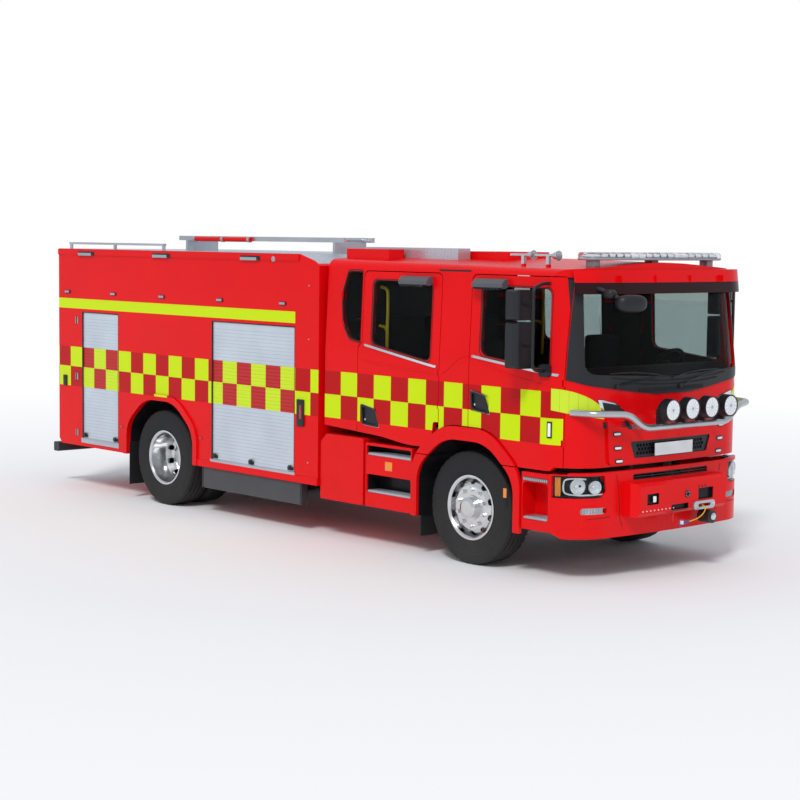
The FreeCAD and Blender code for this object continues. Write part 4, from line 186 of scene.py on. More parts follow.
# %% Dust group
def make_dust_group():
    group, entry, leave = new_group("road_dust", {"Amount": 0.3, "Height": 1.2, "Blotch": 3.0}, ["Mask"])
    place = group.nodes.new("ShaderNodeTexCoord").outputs["Object"]
    fade = calc(group, "SUBTRACT", 1.0, calc(group, "DIVIDE", axes(group)["Z"], entry["Height"]), clamp=True)
    cloud = remap(group, noise(group, place, entry["Blotch"], 5.0, 0.6), 0.3, 0.7, 0.35, 1.0)
    fine = remap(group, noise(group, place, 60.0, 2.0), 0.3, 0.7, 0.7, 1.0)
    soft = times(group, calc(group, "POWER", fade, 1.4), times(group, cloud, fine))
    group.links.new(calc(group, "MULTIPLY", soft, entry["Amount"], clamp=True), leave["Mask"])
    return group


dust_group = make_dust_group()
print("group", dust_group.name)

# %% [markdown]
# Every moulded or painted surface has a fine unevenness: orange peel in paint, a leather-like
# grain in plastic, a cast skin on metal. One group gives its height for the bump.

# %% Grain group
def make_grain_group():
    group, entry, leave = new_group("surface_grain", {"Scale": 300.0, "Wave": 2.0}, ["Height", "Tone"])
    place = group.nodes.new("ShaderNodeTexCoord").outputs["Object"]
    for scale, label in (("Scale", "Height"), ("Wave", "Tone")):
        group.links.new(noise(group, place, entry[scale], 2.0), leave[label])
    return group


grain_group = make_grain_group()
print("group", grain_group.name)

# %% [markdown]
# The red paint carries a lime stripe high on the body and a two-row chequer of lime and
# dark red along both sides. They are bands in the vehicle's own coordinates, so they run on
# over doors and panels and turn with them. A second group marks a box-shaped zone, for small
# areas of another colour.

# %% Livery and zone groups
SHIFT_Y = -2.68              # the front axle stands this far ahead of the middle
CELL = 0.2429                # length of one chequer cell
CELL_STEP = 0.033            # the cells start this much later from the front shutter on
BAND = (1.195, 1.425, 1.655)    # foot, middle and top of the chequer
STRIPE = (2.1, 2.215)
STRIPE_END = 2.43 + SHIFT_Y
SIDE_FROM = 1.16             # the bands lie further out than this


def between(tree, value, low, high):
    return times(tree, calc(tree, "GREATER_THAN", value, low), calc(tree, "LESS_THAN", value, high))


def make_livery_group():
    """Masks of lime and of dark red on the sides, from the place on the vehicle."""
    group, entry, leave = new_group("livery", {"Start": 4.15, "Step from": -9.0}, ["Lime", "Dark", "Stripe"])
    place = axes(group)
    outside = calc(group, "GREATER_THAN", calc(group, "ABSOLUTE", place["X"]), SIDE_FROM)
    flat = calc(group, "GREATER_THAN", calc(group, "ABSOLUTE", axes(group, "Normal")["X"]), 0.5)
    side = times(group, outside, flat)
    step = times(group, calc(group, "LESS_THAN", place["Y"], entry["Step from"]), CELL_STEP)
    along = calc(group, "SUBTRACT", calc(group, "SUBTRACT", entry["Start"], step), place["Y"])
    column = calc(group, "ADD", calc(group, "FLOOR", calc(group, "DIVIDE", along, CELL)), 40.0)
    odd = calc(group, "ABSOLUTE", calc(group, "MODULO", column, 2.0))
    upper = calc(group, "GREATER_THAN", place["Z"], BAND[1])
    lime_cell = calc(group, "LESS_THAN", calc(group, "MODULO", calc(group, "ADD", odd, upper), 2.0), 0.5)
    band = times(group, between(group, place["Z"], BAND[0], BAND[2]), side)
    ahead = calc(group, "GREATER_THAN", place["Y"], STRIPE_END)
    dark_cell = calc(group, "SUBTRACT", 1.0, lime_cell)
    stripe = times(group, between(group, place["Z"], *STRIPE), side, ahead)
    for label, mask in (("Lime", times(group, band, lime_cell)), ("Dark", times(group, band, dark_cell)),
                        ("Stripe", stripe)):
        group.links.new(mask, leave[label])
    return group


def make_zone_group():
    """Mask of a box-shaped zone of the vehicle, given by its middle and its half sizes."""
    sizes = {"X": 0.0, "Y": 0.0, "Z": 1.0, "Half X": 0.1, "Half Y": 0.1, "Half Z": 0.1}
    group, entry, leave = new_group("zone", sizes, ["Mask"])
    place = axes(group)
    within = []
    for axis in "XYZ":
        away = calc(group, "ABSOLUTE", calc(group, "SUBTRACT", place[axis], entry[axis]))
        within.append(calc(group, "LESS_THAN", away, entry["Half " + axis]))
    group.links.new(times(group, *within), leave["Mask"])
    return group


livery_group = make_livery_group()
zone_group = make_zone_group()
print("groups", livery_group.name, zone_group.name)

# %% [markdown]
# Colours are written as they look on screen and turned into linear light for the shaders.

# %% Colours
def screen_colour(code):
    """Linear colour of a screen colour such as E4060C."""
    values = []
    for i in range(0, 6, 2):
        share = int(code[i:i + 2], 16) / 255
        values.append(share / 12.92 if share <= 0.04045 else ((share + 0.055) / 1.055) ** 2.4)
    return (*values, 1.0)


FIRE_RED = "E4060C"
DARK_RED = "B80206"
LIME = "C9E300"
DUST = "8A8278"
SILVER = "C6CBD2"
BLACK = "17181B"
LINING = "3A3C41"
print("fire red", screen_colour(FIRE_RED))

# %% [markdown]
# Most finishes share one plan: a base colour that varies a little, dust low down, grain in
# the bump and a roughness that follows both. The Principled shader itself stays in each
# material, so that it can be exported.

# %% Finish maker
finishes = {}


def finish(name, code, rough, metal=0.0, grain=300.0, bump=0.05, tone=0.12, dust=0.1, coat=0.0, spec=0.5,
           livery=None, zones=()):
    """Makes a material from a screen colour and keeps it in finishes."""
    material, tree, shader = new_material(name)
    fine = link_nodes(tree, "ShaderNodeGroup", {"Scale": grain}, node_tree=grain_group).outputs
    soil = link_nodes(tree, "ShaderNodeGroup", {"Amount": dust}, node_tree=dust_group).outputs["Mask"]
    colour = screen_colour(code)
    darker = (*(c * (1.0 - tone) for c in colour[:3]), 1.0)
    base = mix_colours(tree, remap(tree, fine["Tone"], 0.3, 0.7), darker, colour)
    shine = metal
    if livery:
        bands = link_nodes(tree, "ShaderNodeGroup", livery, node_tree=livery_group).outputs
        for label, tint in (("Dark", DARK_RED), ("Lime", LIME), ("Stripe", LIME)):
            base = mix_colours(tree, bands[label], base, screen_colour(tint))
        film = calc(tree, "ADD", bands["Lime"], bands["Dark"])
        shine = times(tree, calc(tree, "SUBTRACT", 1.0, film), metal)
    for *box, paint, paint_metal in zones:
        sizes = {}
        for axis, low, high, shift in zip("XYZ", box[::2], box[1::2], (0.0, SHIFT_Y, 0.0)):
            sizes[axis] = (low + high) / 2 + shift
            sizes["Half " + axis] = (high - low) / 2
        mask = link_nodes(tree, "ShaderNodeGroup", sizes, node_tree=zone_group).outputs["Mask"]
        base = mix_colours(tree, mask, base, screen_colour(paint))
        kept = times(tree, calc(tree, "SUBTRACT", 1.0, mask), shine)
        shine = calc(tree, "ADD", kept, times(tree, mask, paint_metal))
    tree.links.new(mix_colours(tree, soil, base, screen_colour(DUST)), shader.inputs["Base Color"])
    uneven = remap(tree, fine["Height"], 0.2, 0.8, rough * 0.85, rough * 1.15)
    tree.links.new(calc(tree, "ADD", uneven, times(tree, soil, 0.4), clamp=True), shader.inputs["Roughness"])
    if zones or livery and metal > 0:
        tree.links.new(shine, shader.inputs["Metallic"])
    else:
        shader.inputs["Metallic"].default_value = metal
    for label, value in (("Specular IOR Level", spec), ("Coat Weight", coat), ("Coat Roughness", 0.04)):
        shader.inputs[label].default_value = value
    lift = link_nodes(tree, "ShaderNodeBump", {"Height": fine["Height"], "Strength": bump, "Distance": 0.002})
    tree.links.new(lift.outputs["Normal"], shader.inputs["Normal"])
    finishes[name] = material


RED_LOOK = {"grain": 140.0, "bump": 0.02, "tone": 0.06, "coat": 0.08, "dust": 0.03, "spec": 0.12}
LAMP_LOOK = {"grain": 80.0, "coat": 0.6}
finish("red_paint", FIRE_RED, 0.28, **RED_LOOK)
finish("chassis_paint", "25262A", 0.5, grain=200.0, dust=0.2)
finish("engine_metal", "5A5B5E", 0.55, metal=0.5, grain=90.0, bump=0.3)
finish("tyre_rubber", "1B1C1E", 0.75, grain=260.0, bump=0.15, dust=0.12, spec=0.35)
finish("wheel_aluminium", "DCDDDE", 0.2, metal=1.0, grain=220.0, bump=0.02, dust=0.08)
finish("bright_aluminium", "C9CCD2", 0.35, metal=0.9, grain=350.0)
finish("black_plastic", "191B1F", 0.42, grain=500.0, bump=0.12, dust=0.05, spec=0.4)
finish("grey_plastic", "55575C", 0.55, grain=450.0, bump=0.15)
finish("grey_panel", "37393D", 0.4, grain=200.0, dust=0.15)
finish("seat_fabric", "35373C", 0.9, grain=900.0, bump=0.3)
finish("grip_rubber", "17181A", 0.7, grain=300.0, bump=0.2, dust=0.05, spec=0.3)
finish("lamp_lens", "DDE3E8", 0.12, grain=60.0, coat=0.5)
finish("rope_fibre", "E8B61C", 0.7, grain=900.0, bump=0.4)
finish("eye_fibre", "1E5FA8", 0.7, grain=900.0, bump=0.4)
# The lamp bowls are near-white and only half metallic: the pale colour paints the bright reflection that
# chrome bowls show.
finish("bowl_white_painted_reflection", "F2F5F8", 0.25, metal=0.35, grain=60.0, bump=0.01, dust=0.0)
finish("steel", "C4C6CA", 0.3, metal=0.85, grain=300.0)
finish("chrome", "E4E6EA", 0.1, metal=1.0, grain=40.0, bump=0.01)
finish("white_plastic", "F0F2F4", 0.2, grain=80.0, coat=0.4)
finish("silver_plastic", "A9ADB3", 0.35, metal=0.4, grain=400.0)
finish("orange_lens", "F08A12", 0.15, **LAMP_LOOK)
finish("red_lens", "A80A10", 0.15, **LAMP_LOOK)
finish("lime_film", LIME, 0.3, grain=500.0, bump=0.03, coat=0.4, tone=0.08, dust=0.2)
finish("yellow_paint", "E9C400", 0.35, grain=300.0, coat=0.3)
print("finishes", len(finishes))

# %% [markdown]
# Some panels have small areas of another colour: the roof deck, the insides of the cab and
# the arches, the wall behind the honeycomb, the recesses of the winch beam. Each is a zone
# with two ends along x, y and z, measured from the front axle, a colour and a metallic share.

# %% Finishes with livery and zones
GRILLE_BACK = ((-0.555, 0.555, -1.3695, -1.2, 1.045, 1.225, BLACK, 0.0),)
ZONES = {
    "body_red": ((-1.235, 1.235, 2.09, 6.8, 2.7, 2.82, SILVER, 0.6),
                 (-1.215, 1.215, 4.02, 5.52, 0.3, 1.3, BLACK, 0.0)),
    "cab_red": ((-1.17, 1.17, -0.9, 1.96, 1.3, 2.05, LINING, 0.0),
                (-1.155, 1.155, -1.0, 1.96, 2.05, 2.35, LINING, 0.0),
                (-1.14, 1.14, -1.0, 1.96, 2.35, 2.58, LINING, 0.0),
                (-1.05, 1.05, -1.05, 1.96, 2.58, 2.7, LINING, 0.0), *GRILLE_BACK),
    "hatch_red": GRILLE_BACK,
    "arch_red": ((-1.207, 1.207, -0.8, 0.8, 0.3, 1.35, BLACK, 0.0),),
    "bumper_red": ((-0.505, -0.335, -1.53, -1.38, 0.655, 0.765, BLACK, 0.0),
                   (0.015, 0.085, -1.53, -1.38, 0.685, 0.755, BLACK, 0.0),
                   (0.195, 0.425, -1.53, -1.38, 0.645, 0.765, BLACK, 0.0),
                   (-0.175, 0.075, -1.53, -1.38, 0.575, 0.655, BLACK, 0.0)),
    "step_red": ((-1.2, 1.2, 0.725, 1.37, 0.515, 0.98, BLACK, 0.0),),
    "roof_red": ((-1.03, -0.9, -0.9, -0.2, 2.745, 2.9, "D5D8DC", 1.0),
                 (-0.73, -0.56, 0.64, 1.99, 2.76, 2.88, SILVER, 0.6)),
    "visor_red": ((-1.3, 1.3, -1.5, -1.1, 2.49, 2.598, "2A1014", 0.0),),
    "winch_metal": ((0.27, 0.42, -1.61, -1.45, 0.42, 0.5635, BLACK, 0.0),
                    (-0.13, -0.08, -1.63, -1.48, 0.46, 0.57, FIRE_RED, 0.0)),
}
BODY_LIVERY = {"Start": 6.831 + SHIFT_Y, "Step from": 5.597 + SHIFT_Y}
LIVERIES = {"body_red": BODY_LIVERY, "cab_red": {"Start": 2.003 + SHIFT_Y}}
for name, zones in ZONES.items():
    if name.endswith("red"):
        finish(name, FIRE_RED, 0.22 if name == "visor_red" else 0.28, livery=LIVERIES.get(name), zones=zones,
               **RED_LOOK)
finish("winch_metal", "C9CCD2", 0.3, metal=0.9, grain=350.0, zones=ZONES["winch_metal"])
finish("shutter_metal", "D3DBE4", 0.4, metal=0.55, grain=400.0, dust=0.05, livery=BODY_LIVERY)
print("zoned finishes", len(ZONES))

# %% [markdown]
# Window glass is clear with a slight tint. It keeps plain metallic and transmission values,
# and only its roughness varies with a thin film of dust.

# %% Glass
def make_glass(name, code):
    material, tree, shader = new_material(name)
    colour = screen_colour(code)
    fine = link_nodes(tree, "ShaderNodeGroup", {"Scale": 8.0}, node_tree=grain_group).outputs
    tree.links.new(remap(tree, fine["Height"], 0.3, 0.7, 0.01, 0.05), shader.inputs["Roughness"])
    tint = (*(c * 0.94 for c in colour[:3]), 1.0)
    tree.links.new(mix_colours(tree, fine["Tone"], tint, colour), shader.inputs["Base Color"])
    shader.inputs["Transmission Weight"].default_value = 1.0
    shader.inputs["IOR"].default_value = 1.1
    finishes[name] = material


make_glass("window_glass", "B9C4C2")
make_glass("clear_lens", "F2F5F7")
print("glass", finishes["window_glass"].name)

# %% [markdown]
# Each imported node gets the finish of its slot, unless it has one of its own in the table.
# A piece made here names its finish.

# %% Dress the imported nodes
NODE_FINISHES = {"equipment_body": "body_red", "cab_arches": "arch_red", "fender_legs": "arch_red",
                 "grille_hatch": "hatch_red", "bumper": "bumper_red", "side_boxes": "step_red",
                 "roof_gear": "roof_red", "visor": "visor_red", "winch_gear": "winch_metal",
                 "shutters": "shutter_metal", "number_plate": "white_plastic"}
for name in ["cab_sides", "cab_front", "cab_back", "cab_roof"] + ["door_%s_%s" % door[:2] for door in DOORS]:
    NODE_FINISHES[name] = "cab_red"
for name, node in nodes.items():
    node.data.materials.clear()
    node.data.materials.append(finishes[NODE_FINISHES.get(name, slot_of[name])])
print("dressed", len(nodes), "nodes")

# %% [markdown]
# The winch rope hangs from the beam's slot to its eye on the hook. It follows the route of
# the solid: a NURBS line with the route's points as control points, straight out of the
# beam and then down under its own weight.

# %% Winch rope
ROPE_ROUTE = ((0.25, -1.5, 0.606), (0.25, -1.548, 0.606), (0.243, -1.592, 0.588), (0.205, -1.606, 0.545),
              (0.145, -1.602, 0.508), (0.078, -1.594, 0.488), (0.012, -1.588, 0.48))
ROPE_WIDTH = 0.01


def make_rope():
    data = bpy.data.curves.new("winch_rope_line", "CURVE")
    data.dimensions = "3D"
    spline = data.splines.new("NURBS")
    spline.points.add(len(ROPE_ROUTE) - 1)
    for point, place in zip(spline.points, ROPE_ROUTE):
        point.co = (place[0], place[1] + SHIFT_Y, place[2], 1.0)
    spline.order_u = 3
    spline.use_endpoint_u = True
    spline.resolution_u = 12
    data.bevel_depth = ROPE_WIDTH / 2
    data.bevel_resolution = 4
    data.materials.append(finishes["rope_fibre"])
    return add_object("winch_rope_line", data)


rope = make_rope()
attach(rope, "root")
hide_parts("winch_rope")
print("rope", ROPE_WIDTH)

# %% [markdown]
# Small parts are built straight in mesh code. A few helpers are enough: a bevelled block, a
# pressed outline, a swept bar, a turned form and a slab that follows a curved panel.
# Sizes are in metres from the front axle, and each piece is moved to the vehicle's own
# origin when it is done.

# %% Mesh helpers
def grid_faces(bm, rows, closed_rows=False, closed_columns=False):
    """Faces between neighbouring rows of vertices."""
    for i in range(len(rows) if closed_rows else len(rows) - 1):
        here = rows[i]
        beside = rows[(i + 1) % len(rows)]
        for k in range(len(here) if closed_columns else len(here) - 1):
            after = (k + 1) % len(here)
            bm.faces.new((here[k], here[after], beside[after], beside[k]))


def add_tube(bm, rows):
    """Closed form whose rings of vertices follow one another."""
    grid_faces(bm, rows, closed_columns=True)
    bm.faces.new(rows[0][::-1])
    bm.faces.new(rows[-1])


def add_block(bm, low, high, bevel=0.004, segments=2):
    """Box between two corners with its edges rounded off."""
    corners = [bm.verts.new((x, y, z)) for x in (low[0], high[0]) for y in (low[1], high[1])
               for z in (low[2], high[2])]
    for a, b, c, d in ((0, 1, 3, 2), (4, 6, 7, 5), (0, 4, 5, 1), (2, 3, 7, 6), (0, 2, 6, 4), (1, 5, 7, 3)):
        bm.faces.new((corners[a], corners[b], corners[c], corners[d]))
    round_off(bm, corners, bevel, segments)


def round_off(bm, corners, bevel, segments=2):
    if bevel > 0:
        edges = list({edge for corner in corners for edge in corner.link_edges})
        bmesh.ops.bevel(bm, geom=edges, offset=bevel, segments=segments, profile=0.5, affect="EDGES",
                        clamp_overlap=True)


def add_slab(bm, rows, offset, bevel=0.0):
    """Closed slab from a grid of points; offset is its thickness, one vector or a grid of them."""
    front = [[bm.verts.new(point) for point in row] for row in rows]
    back = []
    for i, row in enumerate(rows):
        shifts = offset[i] if isinstance(offset, list) else [offset] * len(row)
        back.append([bm.verts.new(Vector(point) + shift) for point, shift in zip(row, shifts)])
    grid_faces(bm, front)
    grid_faces(bm, [row[::-1] for row in back])
    for first, second in ((front[0], back[0]), (back[-1], front[-1])):
        grid_faces(bm, [second, first])
    for k in (0, -1):
        edge_front = [row[k] for row in front]
        edge_back = [row[k] for row in back]
        grid_faces(bm, [edge_front, edge_back] if k == 0 else [edge_back, edge_front])
    if bevel:
        rim = front[0] + front[-1] + [row[0] for row in front[1:-1]] + [row[-1] for row in front[1:-1]]
        edges = {edge for corner in rim for edge in corner.link_edges
                 if edge.other_vert(corner) in rim and len(edge.link_faces) == 2
                 and edge.calc_face_angle(0.0) > 0.6}
        bmesh.ops.bevel(bm, geom=list(edges), offset=bevel, segments=2, profile=0.5, affect="EDGES",
                        clamp_overlap=True)


def add_circle(bm, centre, across, rise, sides):
    """Ring of vertices round a centre; across and rise are its two half axes."""
    turns = [math.tau * k / sides for k in range(sides)]
    return [bm.verts.new(centre + across * math.cos(turn) + rise * math.sin(turn)) for turn in turns]


def add_bar(bm, points, radius, sides=12, flat=1.0):
    """Round bar swept through points along a smooth line, with closed ends."""
    line = smooth_line(points)
    rows = []
    rise = Vector((0.31, 0.17, 0.93))
    for i, place in enumerate(line):
        ahead = (line[min(i + 1, len(line) - 1)] - line[max(i - 1, 0)]).normalized()
        across = ahead.cross(rise).normalized()
        rise = across.cross(ahead)
        rows.append(add_circle(bm, place, across * radius, rise * (radius * flat), sides))
    add_tube(bm, rows)


def smooth_line(points, steps=6):
    """Points of a smooth line that passes through the given ones."""
    places = [Vector(p) for p in points]
    if len(places) == 2:
        return places
    line = []
    for i in range(len(places) - 1):
        p0 = places[max(i - 1, 0)]
        p1 = places[i]
        p2 = places[i + 1]
        p3 = places[min(i + 2, len(places) - 1)]
        for s in range(steps):
            t = s / steps
            line.append(0.5 * (2 * p1 + (p2 - p0) * t + (2 * p0 - 5 * p1 + 4 * p2 - p3) * t * t
                               + (3 * p1 - p0 - 3 * p2 + p3) * t ** 3))
    return line + [places[-1]]


def add_turned(bm, profile, centre, axis, sides=32):
    """Turned form from (distance along the axis, radius) points."""
    way = Vector(axis).normalized()
    across = way.orthogonal().normalized()
    rise = way.cross(across)
    add_tube(bm, [add_circle(bm, Vector(centre) + way * along, across * radius, rise * radius, sides)
                  for along, radius in profile])


def add_outline(bm, outline, depth_a, depth_b, place, bevel=0.002):
    """Pressed form: a flat outline between two depths; place turns (u, v, depth) into a point."""
    near = [bm.verts.new(place(u, v, depth_a)) for u, v in outline]
    far = [bm.verts.new(place(u, v, depth_b)) for u, v in outline]
    bm.faces.new(near)
    bm.faces.new(far[::-1])
    grid_faces(bm, [near, far], closed_columns=True)
    round_off(bm, near + far, bevel)


def rounded_outline(u0, u1, v0, v1, radius, steps=5):
    points = []
    for cu, cv, start in ((u1 - radius, v0 + radius, -90), (u1 - radius, v1 - radius, 0),
                          (u0 + radius, v1 - radius, 90), (u0 + radius, v0 + radius, 180)):
        for s in range(steps + 1):
            turn = math.radians(start + 90.0 * s / steps)
            points.append((cu + radius * math.cos(turn), cv + radius * math.sin(turn)))
    return points


def side_place(side):
    """Places an outline on the side: u runs rearward, v up and depth outward from x = 0."""
    return lambda u, v, depth: Vector((side * depth, u, v))


def both_sides(bm, x0, x1, y0, y1, z0, z1, bevel=0.003, segments=2):
    """The same block on the vehicle's right and left side; x0 and x1 are measured outwards."""
    for _, side in SIDES:
        add_block(bm, (side * x0, y0, z0), (side * x1, y1, z1), bevel, segments)


def side_studs(bm, profile, x, y, z, sides):
    """The same turned stud on both sides, pointing outwards."""
    for _, side in SIDES:
        add_turned(bm, profile, (side * x, y, z), (side, 0, 0), sides)


def new_piece(name, bm, material, body="root", replaces=None, angle=35.0):
    """Turns the mesh into a piece that rides on a body and has a finish."""
    bmesh.ops.recalc_face_normals(bm, faces=bm.faces)
    bmesh.ops.translate(bm, verts=bm.verts, vec=(0, SHIFT_Y, 0))
    mesh = bpy.data.meshes.new(name)
    bm.to_mesh(mesh)
    bm.free()
    mesh.polygons.foreach_set("use_smooth", [True] * len(mesh.polygons))
    mesh.set_sharp_from_angle(angle=math.radians(angle))
    mesh.materials.append(finishes[material])
    piece = add_object(name, mesh)
    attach(piece, body)
    if replaces:
        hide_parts(replaces)


def door_piece(kind, where, hand, bm, material):
    """Piece that rides on one of the doors."""
    new_piece("%s_%s_%s" % (kind, where, hand), bm, material, "door_%s_%s" % (where, hand))


def new_meshes(count):
    return [bmesh.new() for _ in range(count)]


print("mesh helpers ready")

# %% [markdown]
# Trim that lies on a curved panel is placed with a ray: it starts outside, runs inwards, and
# the point where it meets the panel is where the trim goes. It then fits any panel shape.

# %% Panel finder
def panel_tree(names):
    bm = bmesh.new()
    for name in names:
        bm.from_mesh(nodes[name].data)
    tree = BVHTree.FromBMesh(bm)
    bm.free()
    return tree


DOOR_NODES = ["%s_%s_%s" % (kind, where, hand) for kind in ("door", "glass") for where, hand, _ in DOORS]
shell_tree = panel_tree(["cab_front", "cab_sides", "cab_back", "cab_glass", "equipment_body", "bumper",
                         "grille_hatch"]
                        + DOOR_NODES)
side_tree = panel_tree(["cab_sides", "cab_front", "cab_back", "cab_glass"] + DOOR_NODES)
cowl_tree = panel_tree(["screen_surround", "cab_glass", "cab_front"])


def on_side(y, z, side, lift=0.0, tree=None):
    """Point on the vehicle's side, lifted off the panel."""
    hit = (tree or shell_tree).ray_cast(Vector((side * 3.0, y + SHIFT_Y, z)), Vector((-side, 0, 0)))
    return Vector((hit[0].x + side * lift, y, z))


def on_front(x, z, lift=0.0, tree=None):
    """Point on the vehicle's front, lifted off the panel."""
    hit = (tree or shell_tree).ray_cast(Vector((x, -9.0, z)), Vector((0, 1, 0)))
    return Vector((x, hit[0].y - SHIFT_Y - lift, z))


CORNER_X = 0.815             # middle of the cab's front corner arc
CORNER_Y = -0.9272
CORNER_R = 0.4


def on_corner(angle, out, z, side):
    """Point round the front corner: 0 degrees is the side, 90 the front."""
    turn = math.radians(angle)
    reach = CORNER_R + out
    return Vector((side * (CORNER_X + reach * math.cos(turn)), CORNER_Y - reach * math.sin(turn), z))


print("panel of the right side at the front axle", on_side(0.1, 1.9, -1))

# %% [markdown]
# The tyres are turned forms. Thin ridges run round the sidewall, and the tread has ribs
# whose edges zigzag, with small notches along the shoulders. The profile is one list of
# points, and the zigzag moves some of them sideways from one step round to the next.

# %% Tyres
TYRE_R = 0.522
AXLE_REAR = 4.75
FRONT_WHEEL_X = 1.02
REAR_WHEEL_X = 1.072
TWIN_SPACING = 0.334
WALL_PROFILE = ((0.1205, 0.282), (0.122, 0.297), (0.129, 0.306), (0.129, 0.312), (0.134, 0.318),
                (0.14, 0.345), (0.1405, 0.352), (0.1395, 0.355), (0.1405, 0.358), (0.144, 0.385),
                (0.145, 0.41), (0.144, 0.436), (0.145, 0.44), (0.145, 0.446), (0.1425, 0.449), (0.14, 0.47),
                (0.1412, 0.473), (0.14, 0.477), (0.135, 0.494), (0.13, 0.503))
RIB_EDGES = (0.124, 0.086, 0.076, 0.033, 0.024)
GROOVE_DEEP = 0.013
TREAD_CROWN = 0.006
TYRE_STEPS = 160
ZIGZAG = 0.0028
GROOVE_SLOPE = 0.0012


def tread_profile():
    """(outward, radius, zigzag) across half the tread, from the shoulder to the middle."""
    points = []
    for i, out in enumerate(RIB_EDGES):
        radius = TYRE_R - TREAD_CROWN * (out / RIB_EDGES[0]) ** 2
        edge = [(out, radius, ZIGZAG if i else 0.0)]
        if i:
            edge.append((out - GROOVE_SLOPE if i % 2 else out + GROOVE_SLOPE, radius - GROOVE_DEEP, ZIGZAG))
        points += edge if i % 2 else edge[::-1]
    return points


def add_tyre(bm, middle_x, middle_y):
    half = [(out, radius, 0.0) for out, radius in WALL_PROFILE] + tread_profile()
    profile = half + [(-out, radius, wave) for out, radius, wave in reversed(half)]
    rows = []
    for k in range(TYRE_STEPS):
        turn = 2 * math.pi * k / TYRE_STEPS
        way = 1 if (k // 2) % 2 else -1
        ring = []
        for out, radius, wave in profile:
            if abs(out) == RIB_EDGES[0] and k % 4 == 0:
                radius -= 0.007
            ring.append(bm.verts.new((middle_x + out + wave * way, middle_y + radius * math.sin(turn),
                                      TYRE_R - radius * math.cos(turn))))
        rows.append(ring)
    grid_faces(bm, rows, closed_rows=True, closed_columns=True)


for hand, side in SIDES:
    front, rear = new_meshes(2)
    add_tyre(front, side * FRONT_WHEEL_X, 0.0)
    new_piece("tread_front_" + hand, front, "tyre_rubber", "wheel_front_" + hand, "tyre_front_" + hand, 50.0)
    for middle_x in (REAR_WHEEL_X, REAR_WHEEL_X - TWIN_SPACING):
        add_tyre(rear, side * middle_x, AXLE_REAR)
    new_piece("treads_rear_" + hand, rear, "tyre_rubber", "wheels_rear_" + hand, "tyres_rear_" + hand, 50.0)
print("tyres", 3 * len(SIDES))

# %% [markdown]
# Each headlamp is a dark moulded tray behind clear plastic. In it sit two bowls, near-white to paint the
# bright reflection of chrome, a pale light guide bent like a C round the outer bowl, and an orange indicator
# at the outer end.
# The tray and the lens follow the corner of the cab, so both are slabs along its arc.

# %% Headlamps
LAMP_Z = (0.742, 0.933)
LAMP_ANGLES = (20.0, 86.0)
LAMP_SKIN = 0.02
LAMP_DEEP = 0.055
LAMP_FRAME = 0.012
LAMP_BOWLS = ((48.0, 0.068, 0.004), (72.0, 0.056, -0.006))    # angle, radius and height above the middle
GUIDE_ROUTE = ((66, 0.768), (52, 0.766), (38, 0.775), (33, 0.8), (32.5, 0.85), (34, 0.893), (40, 0.909),
               (52, 0.912), (60, 0.906))


def add_corner_slab(bm, angle0, angle1, z0, z1, out, depth, side, bevel=0.0, steps=14):
    """Curved slab round the front corner between two angles and two heights."""
    rows = []
    offsets = []
    for i in range(steps + 1):
        angle = angle0 + (angle1 - angle0) * i / steps
        turn = math.radians(angle)
        rows.append([on_corner(angle, out, z, side) for z in (z0, (z0 + z1) / 2, z1)])
        offsets.append([Vector((-side * math.cos(turn), math.sin(turn), 0)) * depth] * 3)
    add_slab(bm, rows, offsets, bevel)


def make_headlamps():
    tray, bright, guide, orange, lens = new_meshes(5)
    z0, z1 = LAMP_Z
    a0, a1 = LAMP_ANGLES
    wall_out, wall_deep = LAMP_SKIN - 0.004, LAMP_DEEP - 0.004
    for _, side in SIDES:
        add_corner_slab(tray, a0, a1, z0, z1, LAMP_SKIN - LAMP_DEEP, 0.012, side)
        for low, high in ((z0, z0 + LAMP_FRAME), (z1 - LAMP_FRAME, z1)):
            add_corner_slab(tray, a0, a1, low, high, wall_out, wall_deep, side)
        for start, stop in ((a0, a0 + 1.5), (a1 - 1.8, a1)):
            add_corner_slab(tray, start, stop, z0, z1, wall_out, wall_deep, side, steps=1)
        add_corner_slab(orange, a0 + 1.8, a0 + 9.0, z0 + 0.014, z1 - 0.014, LAMP_SKIN - 0.012, 0.03, side,
                        steps=3)
        ahead = Vector((side * 0.3, -0.95, 0)).normalized()
        for angle, radius, height in LAMP_BOWLS:
            centre = on_corner(angle, LAMP_SKIN - LAMP_DEEP + 0.01, (z0 + z1) / 2 + height, side)
            add_turned(bright, ((0.0, 0.006), (0.001, radius * 0.45), (0.008, radius * 0.75),
                                (0.022, radius * 0.93), (0.04, radius), (0.04, radius + 0.004),
                                (0.0, radius * 0.9)), centre, ahead, 28)
            add_turned(bright, ((0.0, 0.018), (0.022, 0.018), (0.03, 0.01), (0.033, 0.002)), centre, ahead,
                       20)
        add_bar(guide, [on_corner(angle, LAMP_SKIN - 0.014, z, side) for angle, z in GUIDE_ROUTE], 0.0075, 10)
        add_bar(guide, [on_corner(angle, LAMP_SKIN - 0.016, 0.764 + (angle - 62) * 0.0003, side)
                        for angle in (64, 74, 83)],
                0.006, 10)
        add_corner_slab(lens, a0, a1, z0, z1, LAMP_SKIN, 0.003, side)
    for name, bm, material in (("trays", tray, "black_plastic"), ("bowls", bright, "bowl_white_painted_reflection"),
                               ("guides", guide, "white_plastic"), ("indicators", orange, "orange_lens"),
                               ("lenses", lens, "clear_lens")):
        new_piece("headlamp_" + name, bm, material, replaces="headlamps")


make_headlamps()
print("headlamps", len(SIDES))

# %% [markdown]
# The fog lamps are low clear boxes with upright ribs in the bumper's corners.

# %% Fog lamps
FOG_ANGLES = (49.0, 87.0)
FOG_Z = (0.6, 0.653)
FOG_RIBS = 9


